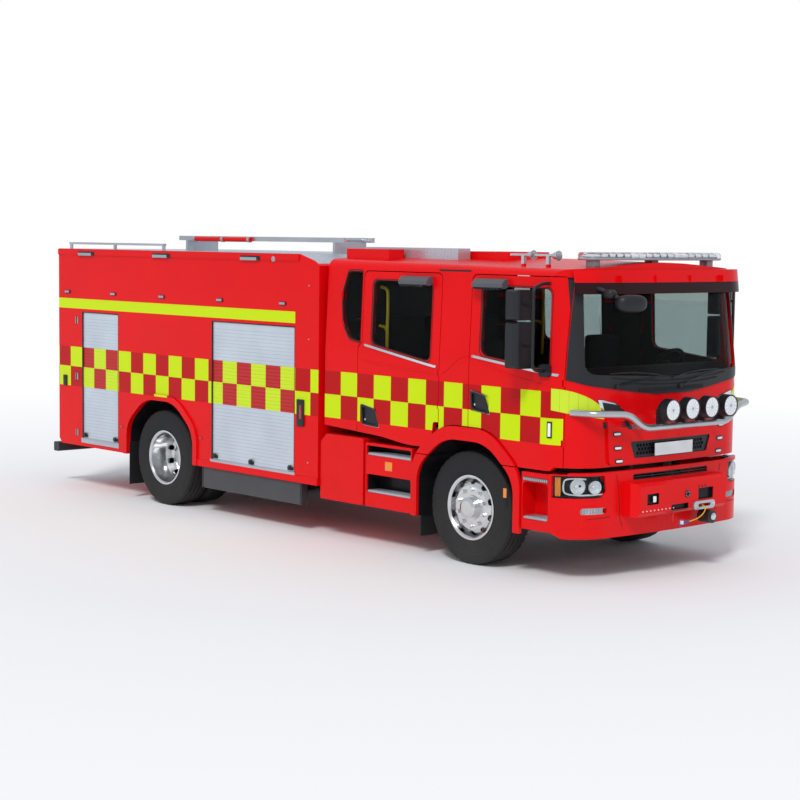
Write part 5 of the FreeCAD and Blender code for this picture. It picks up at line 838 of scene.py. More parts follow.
def make_fog_lamps():
    lens, bowl = new_meshes(2)
    start, stop = FOG_ANGLES
    low, high = FOG_Z
    for _, side in SIDES:
        add_corner_slab(bowl, start, stop, low, high, -0.02, 0.01, side)
        for low_z, high_z in ((low, low + 0.004), (high - 0.004, high)):
            add_corner_slab(bowl, start, stop, low_z, high_z, 0.012, 0.034, side)
        for i in range(FOG_RIBS):
            angle = start + 3.0 + i * (stop - start - 6.0) / (FOG_RIBS - 1)
            add_corner_slab(bowl, angle - 0.35, angle + 0.35, low, high, 0.006, 0.028, side, steps=1)
        add_corner_slab(lens, start, stop, low, high, 0.019, 0.004, side)
    new_piece("fog_lamp_bowls", bowl, "bowl_white_painted_reflection", replaces="headlamps")
    new_piece("fog_lamp_lenses", lens, "clear_lens", replaces="headlamps")


make_fog_lamps()
print("fog lamps", len(SIDES))

# %% [markdown]
# On the front panel sit the marker lamps: a bright pointed lamp above a black louvre at each
# side, and three small pill-shaped lamps one above the other. Each follows the panel by a ray.

# %% Front markers
MARKER_OUTLINE = ((0.925, 1.592), (0.88, 1.588), (0.735, 1.556), (0.64, 1.5), (0.57, 1.436), (0.64, 1.446),
                  (0.88, 1.47), (0.905, 1.53))
MARKER_RIM = 0.006
LOUVRE_OUTLINE = ((0.868, 1.395), (0.6, 1.404), (0.535, 1.33), (0.545, 1.318), (0.862, 1.34))
LOUVRE_SLAT = (0.575, 0.855, 0.009)          # two ends and height
PILL_PLACES = ((0.722, 1.288), (0.708, 1.164), (0.69, 1.048))
PILL_HALF = (0.048, 0.014)


def front_patches(bm, outline, lift, thick, bevel=0.0015):
    """Plate on the curved front, from an outline in x and z, and its mirror image."""
    add_outline(bm, [(-x, z) for x, z in reversed(outline)], lift, lift - thick, on_front, bevel)
    add_outline(bm, outline, lift, lift - thick, on_front, bevel)


def make_front_markers():
    black, bright, lens = new_meshes(3)
    rim = [(x + MARKER_RIM * (1 if x > 0.75 else -1), z + MARKER_RIM * (1 if z > 1.5 else -1))
           for x, z in MARKER_OUTLINE]
    front_patches(black, rim, 0.003, 0.012)
    front_patches(bright, MARKER_OUTLINE, 0.006, 0.008)
    for share in (0.25, 0.5, 0.75):
        x, top = 0.62 + 0.24 * share, 1.535 + 0.02 * share
        front_patches(black, [(x + 0.006, top), (x - 0.006, top), (x - 0.006, 1.475), (x + 0.006, 1.475)],
                      0.0085, 0.004)
    front_patches(black, LOUVRE_OUTLINE, 0.004, 0.012)
    for i in range(3):
        x0, x1, high = LOUVRE_SLAT
        z = 1.345 + i * 2 * high
        front_patches(black, [(x1, z + high), (x0, z + high), (x0, z), (x1, z)], 0.01, 0.008)
    half_x, half_z = PILL_HALF
    for x, z in PILL_PLACES:
        ring = rounded_outline(x - half_x, x + half_x, z - half_z - 0.006, z + half_z + 0.006, 0.019)
        pill = rounded_outline(x - half_x + 0.01, x + half_x - 0.01, z - half_z + 0.004, z + half_z - 0.004,
                               0.009)
        front_patches(black, ring, 0.005, 0.012, 0.001)
        front_patches(lens, pill, 0.008, 0.01, 0.001)
    new_piece("front_marker_frames", black, "black_plastic", "cab")
    new_piece("front_marker_bowls", bright, "chrome", "cab")
    new_piece("pill_lamps", lens, "white_plastic", "cab")


make_front_markers()
print("front markers", 2 * len(PILL_PLACES), "pills")

# %% [markdown]
# The air deflector panel at each front corner carries the lime of the chequer as upright
# bars, because the panel is slotted. A tall lamp stands on the corner below it.

# %% Corner panels
PANEL_ANGLES = (14.0, 84.0)
PANEL_BARS = 6


def panel_edges(share):
    """Lower and upper height of the lime field, from the door to the front."""
    upper = 1.684 - 0.012 * share - 0.165 * share ** 2.4
    lower = 1.497 - 0.075 * share
    return lower, upper


def make_corner_panels():
    lime, black, bright = new_meshes(3)
    first, last = PANEL_ANGLES
    for _, side in SIDES:
        for i in range(PANEL_BARS):
            rows = []
            offsets = []
            for k in range(5):
                share = (i + k * 0.245) / PANEL_BARS
                angle = first + (last - first) * share
                lower, upper = panel_edges(share)
                rows.append([on_corner(angle, 0.0035, z, side) for z in (lower, (lower + upper) / 2, upper)])
                offsets.append([on_corner(angle, -0.004, place.z, side) - place for place in rows[-1]])
            add_slab(lime, rows, offsets, 0.0012)
        add_corner_slab(black, 9.0, 16.0, 1.252, 1.396, 0.006, 0.012, side, 0.002, steps=3)
        add_corner_slab(bright, 10.6, 14.4, 1.266, 1.382, 0.01, 0.01, side, 0.002, steps=3)
    new_piece("corner_panel_bars", lime, "lime_film", "cab")
    new_piece("corner_lamp_frames", black, "black_plastic", "cab")
    new_piece("corner_lamps", bright, "white_plastic", "cab")


make_corner_panels()
print("corner panels", PANEL_BARS, "bars each side")

# %% [markdown]
# Each door has a pull handle: a flat black frame with a bright edge round a dark hollow.
# The frame is a four-cornered ring, so it is built from an outer and an inner outline.

# %% Door handles
HANDLES = {
    "crew": ((1.458, 1.368), (1.262, 1.327), (1.192, 1.155), (1.44, 1.17)),
    "front": ((-0.04, 1.602), (-0.228, 1.563), (-0.294, 1.398), (-0.056, 1.43)),
}
HANDLE_OUT = 1.2235          # the door's skin and the frame's outer face, from the middle
HANDLE_IN = 1.203


def shrink(outline, share):
    """The outline made smaller, or larger, about its middle."""
    middle_u, middle_v = (sum(point[k] for point in outline) / len(outline) for k in (0, 1))
    return [(middle_u + (u - middle_u) * share, middle_v + (v - middle_v) * share) for u, v in outline]


def add_ring(bm, outline, share, depth_a, depth_b, place, bevel=0.0):
    """Frame between an outline and the same outline made smaller."""
    inner = shrink(outline, share)
    rows = [[bm.verts.new(place(u, v, depth)) for u, v in ring]
            for ring, depth in ((outline, depth_a), (inner, depth_a), (inner, depth_b), (outline, depth_b))]
    grid_faces(bm, rows, closed_rows=True, closed_columns=True)
    round_off(bm, [corner for row in rows for corner in row], bevel)


def soften(outline, radius, steps=4):
    """Rounds the corners of an outline."""
    points = []
    for i in range(len(outline)):
        here = Vector(outline[i])
        back = (Vector(outline[i - 1]) - here).normalized()
        ahead = (Vector(outline[(i + 1) % len(outline)]) - here).normalized()
        start = here + back * radius
        end = here + ahead * radius
        for s in range(steps + 1):
            t = s / steps
            points.append(tuple((1 - t) ** 2 * start + 2 * t * (1 - t) * here + t ** 2 * end))
    return points


def make_handles():
    for where, outline in HANDLES.items():
        hollow = shrink(outline, 0.84)
        lock_y, lock_z = hollow[3][0] - 0.02, hollow[3][1] + 0.035
        lock = [(lock_y + 0.012 * math.cos(math.tau * i / 16), lock_z + 0.012 * math.sin(math.tau * i / 16))
                for i in range(16)]
        for hand, side in SIDES:
            place = side_place(side)
            black, edge = new_meshes(2)
            add_ring(black, soften(outline, 0.03), 0.8, HANDLE_OUT, HANDLE_IN, place, 0.002)
            add_ring(edge, soften(shrink(outline, 1.035), 0.032), 0.955, HANDLE_OUT - 0.008, HANDLE_IN,
                     place, 0.001)
            add_outline(black, soften(hollow, 0.02), 1.2045, 1.2015, place, 0.0)
            add_bar(black, [place(u, v, 1.214) for u, v in hollow[1:3]], 0.01, 10)
            add_outline(edge, lock, 1.212, HANDLE_IN, place, 0.001)
            door_piece("handle", where, hand, black, "black_plastic")
            door_piece("handle_edge", where, hand, edge, "chrome")


make_handles()
print("handles", 2 * len(HANDLES))

# %% [markdown]
# Rubber seals run round the side windows, and a bright strip lies along each window's sill.
# A seal is a thin frame that follows the edge of the glass, found from the glass's own mesh.

# %% Window seals and sill strips
WINDOWS = {
    "front": ((-0.152, 1.925), (-1.0, 1.834), (-0.99, 2.542), (-0.152, 2.548)),
    "crew": ((1.322, 1.948), (0.502, 1.822), (0.502, 2.56), (1.322, 2.56)),
}
QUARTER = ((1.49, 1.96), (1.49, 2.636), (1.69, 2.636), (1.776, 2.4), (1.745, 2.12), (1.64, 1.985))


def side_ring(bm, outline, share, side):
    """Flat seal on the vehicle's side between an outline and a smaller one."""
    add_ring(bm, outline, share, 0.004, -0.008, lambda u, v, depth: on_side(u, v, side, depth, side_tree))


def side_strip(bm, path, side, half_w, lift, thick, tree=side_tree):
    """Narrow strip along a path of (y, z) points on the vehicle's side."""
    line = smooth_line([(0, y, z) for y, z in path])
    rows = []
    for i, place in enumerate(line):
        ahead = (line[min(i + 1, len(line) - 1)] - line[max(i - 1, 0)]).normalized()
        rows.append([on_side(place.y - ahead.z * s, place.z + ahead.y * s, side, lift, tree)
                     for s in (-half_w, half_w)])
    add_slab(bm, rows, Vector((-side * thick, 0, 0)))


def make_window_trim():
    for hand, side in SIDES:
        for where, outline in WINDOWS.items():
            seal, strip = new_meshes(2)
            side_ring(seal, soften(shrink(outline, 1.035), 0.07), 0.945, side)
            door_piece("window_seal", where, hand, seal, "grip_rubber")
            (rear_y, rear_z), (front_y, front_z) = outline[:2]
            path = ((rear_y + 0.085, rear_z - 0.012), (rear_y, rear_z - 0.026), (front_y, front_z - 0.026),
                    (front_y - 0.07, front_z - 0.03))
            side_strip(strip, path, side, 0.011, 0.009, 0.01)
            door_piece("sill_strip", where, hand, strip, "chrome")
        seal = bmesh.new()
        side_ring(seal, soften(shrink(QUARTER, 1.05), 0.03), 0.93, side)
        new_piece("window_seal_quarter_" + hand, seal, "grip_rubber", "cab")


make_window_trim()
print("window trim", 2 * len(WINDOWS) + 2)

# %% [markdown]
# Pressed lines on the doors and the sides: a swooping moulding under the windows, and thin
# seams behind the crew door. Raised mouldings take the paint's finish.

# %% Mouldings
DOOR_BELTS = {
    "crew": ((1.5, 1.8), (1.3, 1.775), (1.0, 1.75), (0.7, 1.735), (0.5, 1.73), (0.392, 1.728)),
    "front": ((-0.03, 1.905), (-0.14, 1.885), (-0.3, 1.83), (-0.5, 1.775), (-0.75, 1.735), (-1.1, 1.69)),
}
PILLAR_BELT = ((0.362, 1.735), (0.3, 1.752), (0.22, 1.805), (0.14, 1.868), (0.07, 1.9), (0.0, 1.908))
PILLAR_SEAMS = (((1.965, 1.742), (1.78, 1.738), (1.595, 1.731)), ((1.965, 1.7), (1.965, 1.742)))


def make_mouldings():
    for hand, side in SIDES:
        for where, path in DOOR_BELTS.items():
            belt = bmesh.new()
            side_strip(belt, path, side, 0.007, 0.005, 0.009)
            door_piece("belt", where, hand, belt, "red_paint")
        belt = bmesh.new()
        side_strip(belt, PILLAR_BELT, side, 0.007, 0.005, 0.009)
        for path in PILLAR_SEAMS:
            side_strip(belt, path, side, 0.003, 0.0025, 0.006)
        new_piece("belt_pillar_" + hand, belt, "red_paint", "cab")


make_mouldings()
print("mouldings", 2 * len(DOOR_BELTS) + 2)

# %% [markdown]
# Above each side window sits a work lamp in a wedge-shaped hood: grey on top, black below,
# with a ribbed light face that points down and outwards.

# %% Work lamps over the doors
WORK_LAMPS = {"crew": (0.905, 0.505), "front": (-0.085, -0.465)}
WORK_TOP = 2.622
WORK_LOW = 2.5
WORK_REACH = 0.115
WORK_RIBS = 8
# The hood's outline: share of the reach, and height.
HOOD_SECTION = ((0.0, WORK_TOP - 0.012), (0.55, WORK_TOP - 0.018), (1.0, WORK_TOP - 0.055),
                (1.0, WORK_LOW + 0.035), (0.5, WORK_LOW + 0.022), (0.0, WORK_LOW + 0.04))


def make_work_lamps():
    for where, (rear_y, front_y) in WORK_LAMPS.items():
        half = (rear_y - front_y) / 2
        middle = (rear_y + front_y) / 2
        for hand, side in SIDES:
            hood, face = new_meshes(2)
            rows = []
            for i in range(WORK_RIBS + 1):
                share = 2 * i / WORK_RIBS - 1
                reach = side * WORK_REACH * (1 - 0.3 * share ** 4)
                wall = on_side(middle + share * half, WORK_LOW + 0.06, side, 0.001, side_tree)
                rows.append([hood.verts.new((wall.x + reach * out, wall.y, z)) for out, z in HOOD_SECTION])
            add_tube(hood, rows)
            for i in range(WORK_RIBS):
                wall = on_side(middle + half * (0.215 * i - 0.86), WORK_LOW + 0.06, side, 0.0, side_tree)
                add_block(face, (wall.x + side * WORK_REACH * 0.45, wall.y, WORK_LOW + 0.014),
                          (wall.x + side * WORK_REACH * 0.9, wall.y + half * 0.16, WORK_LOW + 0.032), 0.003)
            door_piece("work_lamp", where, hand, hood, "grey_plastic")
            door_piece("work_lamp_face", where, hand, face, "black_plastic")


make_work_lamps()
print("work lamps", 2 * len(WORK_LAMPS))

# %% [markdown]
# Two wipers lie on the foot of the windscreen. Each has a tapering arm, a blade and its
# rubber, and hangs from a cap on the black cowl. The cowl has two raised lips and a row of
# air slots.

# %% Wipers and cowl
WIPERS = (((0.1, 1.672), (0.3, 1.735), (0.62, 1.778), (-0.02, 1.752), (0.7, 1.8)),
          ((-0.72, 1.7), (-0.5, 1.735), (-0.2, 1.762), (-0.8, 1.812), (-0.1, 1.768)))
WIPER_STEPS = 8
COWL_LIPS = ((1.732, 0.78), (1.7, 0.66))       # height and half length
AIR_SLOTS = 30


def on_cowl(x, z, lift):
    return on_front(x, z, lift, cowl_tree)


def make_wipers():
    arms, rubber = new_meshes(2)
    for pivot, elbow, tip, (x0, z0), (x1, z1) in WIPERS:
        add_bar(arms, [on_cowl(*pivot, 0.018), on_cowl(*elbow, 0.03), on_cowl(*tip, 0.022)], 0.008, 8, 0.6)
        add_turned(arms, ((0.0, 0.022), (0.016, 0.02), (0.024, 0.01)), on_cowl(*pivot, 0.0), (0, -1, 0.1), 20)
        route = []
        for i in range(WIPER_STEPS + 1):
            share = i / WIPER_STEPS
            route.append((x0 + (x1 - x0) * share, z0 + (z1 - z0) * share + 0.02 * math.sin(math.pi * share)))
        add_bar(arms, [on_cowl(x, z, 0.016) for x, z in route], 0.006, 8)
        add_bar(rubber, [on_cowl(x, z, 0.006) for x, z in route], 0.005, 6, 0.5)
    new_piece("wiper_arms", arms, "black_plastic", "cab")
    new_piece("wiper_rubbers", rubber, "grip_rubber", "cab")


def make_cowl_lines():
    bm = bmesh.new()
    for z, half in COWL_LIPS:
        rows = []
        for i in range(25):
            x = half * (i / 12 - 1)
            height = z + 0.045 * (x / 0.8) ** 2
            rows.append([on_cowl(x, height + rise, 0.004) for rise in (-0.006, 0.006)])
        add_slab(bm, rows, Vector((0, 0.008, 0)))
    for i in range(AIR_SLOTS):
        x = -0.435 + i * 0.03
        y = on_cowl(x, 1.655, 0.003).y
        add_block(bm, (x - 0.006, y, 1.638), (x + 0.006, y + 0.008, 1.676), 0.002)
    new_piece("cowl_lines", bm, "grip_rubber", "cab")


make_wipers()
make_cowl_lines()
print("wipers", len(WIPERS))

# %% [markdown]
# The light bar is a silver base under a clear dome. The dome shows a row of lamp modules:
# bright reflectors with white and red blocks between them.

# %% Light bar
BAR_HALF = 0.92
BAR_Y = -1.095
BAR_HALF_Y = 0.135
BAR_LOW = 2.792
BAR_TOP = 2.858
BAR_STRAIGHT = BAR_HALF - BAR_HALF_Y
MODULES = 16
WHITE_MODULES = (4, 5, 10, 11)


def add_oval(bm, levels, steps=10):
    """Long form with rounded ends. A level is how far it is drawn in, and its height."""
    rows = []
    for inset, z in levels:
        half_y = BAR_HALF_Y - inset
        turns = [math.pi * (s / steps - 0.5) for s in range(steps + 1)]
        rows.append([bm.verts.new((end * (BAR_STRAIGHT + half_y * math.cos(turn)),
                                   BAR_Y + end * half_y * math.sin(turn),
                                   z)) for end in (1, -1) for turn in turns])
    add_tube(bm, rows)


def make_light_bar():
    base, dome, bright, white, red = new_meshes(5)
    add_oval(base, ((0.01, BAR_LOW - 0.004), (0.0, BAR_LOW + 0.004), (0.0, BAR_LOW + 0.012),
                    (0.006, BAR_LOW + 0.015)))
    for x in (-BAR_HALF * 0.85, 0.0, BAR_HALF * 0.85):
        add_block(base, (x - 0.045, BAR_Y - 0.045, 2.7), (x + 0.045, BAR_Y + 0.045, BAR_LOW), 0.006)
    add_oval(dome, ((0.004, BAR_LOW + 0.014), (0.006, BAR_TOP - 0.018), (0.016, BAR_TOP - 0.004),
                    (0.034, BAR_TOP)))
    foot = BAR_LOW + 0.016
    pitch = 2 * BAR_STRAIGHT / MODULES
    for i in range(MODULES):
        x = (i + 0.5) * pitch - BAR_STRAIGHT
        for y in (BAR_Y - 0.08, BAR_Y + 0.08):
            add_block(white if i in WHITE_MODULES else bright, (x - pitch * 0.44, y - 0.022, foot),
                      (x + pitch * 0.44, y + 0.022, BAR_TOP - 0.014), 0.008)
        add_block(red if i % 4 == 0 else white, (x - pitch * 0.48, BAR_Y - 0.03, foot),
                  (x + pitch * 0.48, BAR_Y + 0.03, BAR_TOP - 0.022), 0.004)
    for _, side in SIDES:
        add_turned(bright, ((0.0, 0.088), (0.012, 0.094), (0.028, 0.07), (0.034, 0.02)),
                   (side * (BAR_STRAIGHT - 0.002), BAR_Y, foot), (0, 0, 1), 28)
    for name, bm, material in (("base", base, "silver_plastic"), ("dome", dome, "clear_lens"),
                               ("mirrors", bright, "chrome"), ("dividers", white, "white_plastic"),
                               ("reds", red, "red_lens")):
        new_piece("light_bar_" + name, bm, material, "cab", "light_bar")


make_light_bar()
print("light bar", 2 * BAR_HALF, "m long")

# %% [markdown]
# The spot lamps keep their cast housings. Each gets a bowl, a bulb shield on a thin cross bar, a white front
# with fine rays and dark cooling fins. The bowl, shield and bar are near-white, which paints the bright
# reflection of chrome, and the opaque white front paints the bright reflection seen through a clear lens.

# %% Spot lamps
SPOT_X = (-0.401, -0.134, 0.134, 0.401)
SPOT_Y = -1.72
SPOT_Z = 1.505
SPOT_RAYS = 12
SPOT_FINS = 5
FORWARD = (0, -1, 0)
REARWARD = (0, 1, 0)


def make_spot_lamps():
    bowl, front, fins, rays = new_meshes(4)
    for x in SPOT_X:
        start = Vector((x, SPOT_Y, SPOT_Z))
        for i in range(SPOT_RAYS):
            turn = math.tau * i / SPOT_RAYS
            ray = [start + Vector((reach * math.cos(turn), 0.0015, reach * math.sin(turn)))
                   for reach in (0.016, 0.045, 0.078)]
            add_bar(rays, ray, 0.0012 if i % 6 else 0.0014, 6)
        add_turned(rays, ((0.0012, 0.014), (0.0004, 0.012), (0.0004, 0.0)), start, REARWARD, 20)
        add_turned(bowl, ((0.058, 0.012), (0.0585, 0.03), (0.052, 0.046), (0.04, 0.062), (0.022, 0.076),
                          (0.006, 0.0855), (0.006, 0.0875), (0.062, 0.04)), start, REARWARD, 36)
        add_turned(bowl, ((0.016, 0.004), (0.018, 0.014), (0.04, 0.016), (0.056, 0.012)), start, REARWARD, 20)
        add_bar(bowl, [start + Vector((reach, 0.012, 0)) for reach in (-0.086, 0.086)], 0.0022, 6)
        # The opaque white front paints the bright reflection seen through a clear lens.
        add_turned(front, ((0.0035, 0.087), (0.002, 0.06), (0.0012, 0.006), (0.003, 0.006), (0.0045, 0.06),
                           (0.006, 0.087)), start, REARWARD, 36)
        for i in range(SPOT_FINS):
            along = 0.08 + i * 0.012
            radius = 0.098 - (along - 0.075) * 0.83
            add_turned(fins, ((along, radius - 0.004), (along + 0.001, radius + 0.006),
                              (along + 0.005, radius + 0.006), (along + 0.006, radius - 0.004)), start,
                              REARWARD, 32)
    for name, bm, material in (("ribs", rays, "silver_plastic"), ("bowls", bowl, "bowl_white_painted_reflection"),
                               ("white_fronts_painted_glare", front, "white_plastic"), ("fins", fins, "black_plastic")):
        new_piece("spot_" + name, bm, material, "cab")


make_spot_lamps()
print("spot lamps", len(SPOT_X))

# %% [markdown]
# Each roller shutter has a dark guide on its rear edge, a black strip over its top that paints the shade in
# the recess above it, an aluminium sill strip under it and black latches in its lower corners.

# %% Shutter trim
SHUTTERS = ((2.439, 3.811), (5.599, 6.326))      # front and rear edge
SHUTTER_Z = (0.602, 2.058)
LATCHES = ((2.494, 0.637), (3.761, 0.637), (3.139, 0.632), (5.654, 0.637), (6.276, 0.637))
BODY_FACE = 1.25
SUNK_IN = BODY_FACE - 0.012                      # the trim starts this far inside the face


def make_shutter_trim():
    guides, sills, latches = new_meshes(3)
    z0, z1 = SHUTTER_Z
    for y0, y1 in SHUTTERS:
        for y, half, out in ((y1 + 0.006, 0.008, 0.004), (y0 - 0.004, 0.003, 0.002)):
            both_sides(guides, SUNK_IN, BODY_FACE + out, y - half, y + half, z0 - 0.01, z1 + 0.01, 0.0015)
        # This black strip over the shutter's top paints the shade in the recess above it.
        both_sides(guides, SUNK_IN, BODY_FACE + 0.003, y0, y1, z1 - 0.002, z1 + 0.01, 0.0015)
        both_sides(sills, SUNK_IN, BODY_FACE + 0.01, y0 - 0.025, y1 + 0.025, z0 - 0.056, z0 + 0.003, 0.002)
    for y, z in LATCHES:
        both_sides(latches, SUNK_IN, BODY_FACE + 0.006, y - 0.04, y + 0.04, z - 0.022, z + 0.014, 0.005)
        side_studs(latches, ((0.0, 0.024), (0.016, 0.024), (0.022, 0.018), (0.024, 0.0)), BODY_FACE, y,
                   z + 0.008, 20)
    new_piece("shutter_guides_and_painted_shade", guides, "black_plastic")
    new_piece("shutter_sills", sills, "bright_aluminium")
    new_piece("shutter_latches", latches, "black_plastic")


make_shutter_trim()
print("shutter latches", len(LATCHES))

# %% [markdown]
# The body's lamps take the place of their plain solids: long scene lamps in dark housings
# under the cornice, small silver side lamps, low reflectors and the rear lamp units with
# three round lenses each.

# %% Body lamps
SCENE_LAMPS = (6.235, 4.739, 3.156)
SIDE_LAMPS = (6.644, 5.689, 4.738, 3.683, 2.626)
LOW_LAMPS = (5.52, 4.012)
REAR_UNIT = (1.13, 6.861)   # middle of the rear lenses, from the vehicle's middle and along it
LENS_PROFILE = ((0.0, 0.046), (0.01, 0.045), (0.016, 0.034), (0.0175, 0.0))


def make_body_lamps():
    dark, bright, red, orange, white = new_meshes(5)
    for y in SCENE_LAMPS:
        both_sides(dark, BODY_FACE, BODY_FACE + 0.02, y - 0.165, y + 0.165, 2.716, 2.762, 0.006, 3)
        both_sides(bright, BODY_FACE + 0.018, BODY_FACE + 0.025, y - 0.115, y + 0.155, 2.714, 2.746)
    side_studs(bright, ((0.0, 0.03), (0.012, 0.029), (0.022, 0.018), (0.026, 0.0)), BODY_FACE, 2.776, 2.733,
               24)
    for y in SIDE_LAMPS:
        both_sides(dark, BODY_FACE, BODY_FACE + 0.01, y - 0.052, y + 0.052, 2.272, 2.308)
        both_sides(bright, BODY_FACE + 0.008, BODY_FACE + 0.015, y - 0.04, y + 0.048, 2.278, 2.303)
    for y in LOW_LAMPS:
        both_sides(red, BODY_FACE, BODY_FACE + 0.008, y - 0.026, y + 0.026, 0.792, 0.818)
    both_sides(dark, 1.185, 1.075, 6.8355, 6.862, 0.62, 1.01, 0.008, 3)
    x, y = REAR_UNIT
    for lens, z in ((red, 0.935), (orange, 0.815), (white, 0.695)):
        for _, side in SIDES:
            add_turned(lens, LENS_PROFILE, (side * x, y, z), REARWARD, 32)
    for name, bm, material in (("_housings", dark, "black_plastic"), ("_glasses", bright, "silver_plastic"),
                               ("s_red", red, "red_lens"), ("s_orange", orange, "orange_lens"),
                               ("s_white", white, "white_plastic")):
        new_piece("body_lamp" + name, bm, material, replaces="body_lamps")


make_body_lamps()
print("body lamps", len(SCENE_LAMPS) + len(SIDE_LAMPS))

# %% [markdown]
# The steps have ribbed aluminium treads. The cab's step units carry small reflectors.

# %% Step treads
TREAD_OUT = 1.213            # outer edge from the vehicle's middle
TREAD_DEEP = 0.145
TREADS = ((0.745, 1.35, 0.5215), (0.745, 1.35, 0.8815), (-1.018, -0.728, 0.5215))
RIBS = 6
TEETH = 14


def add_treads(bm, y0, y1, z):
    """Treads on both sides with raised ribs along them and a toothed outer edge."""
    both_sides(bm, TREAD_OUT - TREAD_DEEP, TREAD_OUT, y0, y1, z, z + 0.022)
    for i in range(RIBS):
        x = TREAD_OUT - TREAD_DEEP * (i + 0.5) / RIBS
        both_sides(bm, x - 0.004, x + 0.004, y0 + 0.01, y1 - 0.01, z + 0.021, z + 0.027, 0.001)
    for i in range(TEETH):
        y = y0 + (y1 - y0) * (i + 0.5) / TEETH
        both_sides(bm, TREAD_OUT - 0.002, TREAD_OUT + 0.003, y - 0.008, y + 0.008, z + 0.004, z + 0.018,
                   0.001, 1)


def make_steps():
    treads, orange, slots = new_meshes(3)
    for y0, y1, z in TREADS:
        add_treads(treads, y0, y1, z)
    both_sides(slots, 1.2202, 1.2225, -1.022, -0.726, 0.858, 0.893, 0.001)
    for i in range(12):
        y = -1.01 + i * 0.0245
        both_sides(treads, 1.2215, 1.2275, y - 0.008, y + 0.008, 0.862, 0.889, 0.002)
    both_sides(orange, 1.2203, 1.2255, 0.99, 1.09, 0.755, 0.84)
    both_sides(orange, 1.2403, 1.245, -0.545, -0.505, 0.68, 0.765)
    new_piece("step_treads", treads, "bright_aluminium")
    new_piece("step_slots", slots, "black_plastic")
    new_piece("side_reflectors", orange, "orange_lens")


make_steps()
print("step treads", 2 * len(TREADS))

# %% [markdown]
# A wide mirror on a short arm looks down on the cab's front. The heads of the main mirrors
# get their glasses, which face the rear.

# %% Mirrors
LUMP_RINGS = 14
LUMP_SIDES = 28


def add_lump(bm, centre, half, turn=0.0, power=0.72):
    """Closed rounded head, between a ball and a box, turned about the upright axis."""
    def blunt(value):
        return math.copysign(abs(value) ** power, value)

    rows = []
    for i in range(1, LUMP_RINGS):
        tilt = math.pi * (i / LUMP_RINGS - 0.5)
        row = []
        for k in range(LUMP_SIDES):
            spin = math.tau * k / LUMP_SIDES
            x = blunt(math.cos(spin)) * blunt(math.cos(tilt)) * half[0]
            y = blunt(math.sin(spin)) * blunt(math.cos(tilt)) * half[1]
            row.append(bm.verts.new((centre[0] + x * math.cos(turn) - y * math.sin(turn),
                                     centre[1] + x * math.sin(turn) + y * math.cos(turn),
                                     centre[2] + blunt(math.sin(tilt)) * half[2])))
        rows.append(row)
    add_tube(bm, rows)


def make_mirrors():
    head = bmesh.new()
    add_lump(head, (-0.76, -1.52, 2.425), (0.15, 0.07, 0.078), math.radians(-14))
    add_lump(head, (-0.905, -1.4, 2.505), (0.05, 0.06, 0.04))
    add_bar(head, [(-0.96, -1.19, 2.56), (-0.94, -1.3, 2.55), (-0.905, -1.4, 2.51), (-0.84, -1.49, 2.455)],
            0.02, 14)
    new_piece("front_mirror", head, "black_plastic", "cab")
    for hand, side in SIDES:
        glass = bmesh.new()
        for z0, z1 in ((1.872, 2.228), (2.29, 2.506)):
            add_block(glass, (side * 1.48, -0.7395, z0), (side * 1.285, -0.7365, z1), 0.001)
        new_piece("mirror_glass_" + hand, glass, "chrome", "door_front_" + hand)


make_mirrors()
print("mirror heads", 1 + len(SIDES))

# %% [markdown]
# Yellow grab rails stand behind the crew doors, and the side walls carry hinges, a socket
# and a handle box near the body's ends.

# %% Grab rails and side fittings
RAIL_X = 1.08
RAILS = ((((1.245, 1.78), (1.24, 2.1), (1.235, 2.4), (1.255, 2.47), (1.33, 2.49)), 0.015),
         (((1.235, 2.05), (1.27, 2.105), (1.35, 2.12)), 0.013))       # route in y and z, and radius
HINGES = (1.966, 1.314, 0.659)
STUDS = (1.95, 2.48, 0.72)


def make_rails():
    rails = bmesh.new()
    for _, side in SIDES:
        for route, radius in RAILS:
            add_bar(rails, [(side * RAIL_X, y, z) for y, z in route], radius)
    new_piece("grab_rails", rails, "yellow_paint", "cab")


def make_side_fittings():
    silver, black, red = new_meshes(3)
    for z in HINGES:
        both_sides(silver, BODY_FACE, BODY_FACE + 0.01, 6.42, 6.47, z - 0.04, z + 0.04)
        for _, side in SIDES:
            add_turned(black, ((-0.04, 0.007), (0.04, 0.007)), (side * (BODY_FACE + 0.01), 6.446, z),
                       (0, 0, 1), 12)
    both_sides(black, BODY_FACE, BODY_FACE + 0.016, 6.655, 6.735, 1.19, 1.315, 0.008, 3)
    both_sides(black, BODY_FACE, BODY_FACE + 0.018, 2.27, 2.385, 1.075, 1.345, 0.012, 3)
    both_sides(red, BODY_FACE + 0.01, BODY_FACE + 0.024, 2.296, 2.33, 1.15, 1.29, 0.004)
    for z in STUDS:
        side_studs(silver, ((0.0, 0.008), (0.003, 0.007), (0.004, 0.0)), BODY_FACE, 2.215, z, 12)
    new_piece("side_fittings_silver", silver, "steel")
    new_piece("side_fittings_black", black, "black_plastic")
    new_piece("side_fittings_red", red, "red_lens")


make_rails()
make_side_fittings()
print("hinges", len(HINGES))

# %% [markdown]
# Small things at the winch beam: the lamp in its recess, the round socket, a row of bolts,
# the roller's bright hub and the white tip of the hook. The ladder on the roof lies beside
# a red tube with three clamps.

# %% Winch beam and ladder
BEAM_FACE = -1.535
SOCKET = (0.05, 0.72)
TUBE = (-0.676, 2.922)


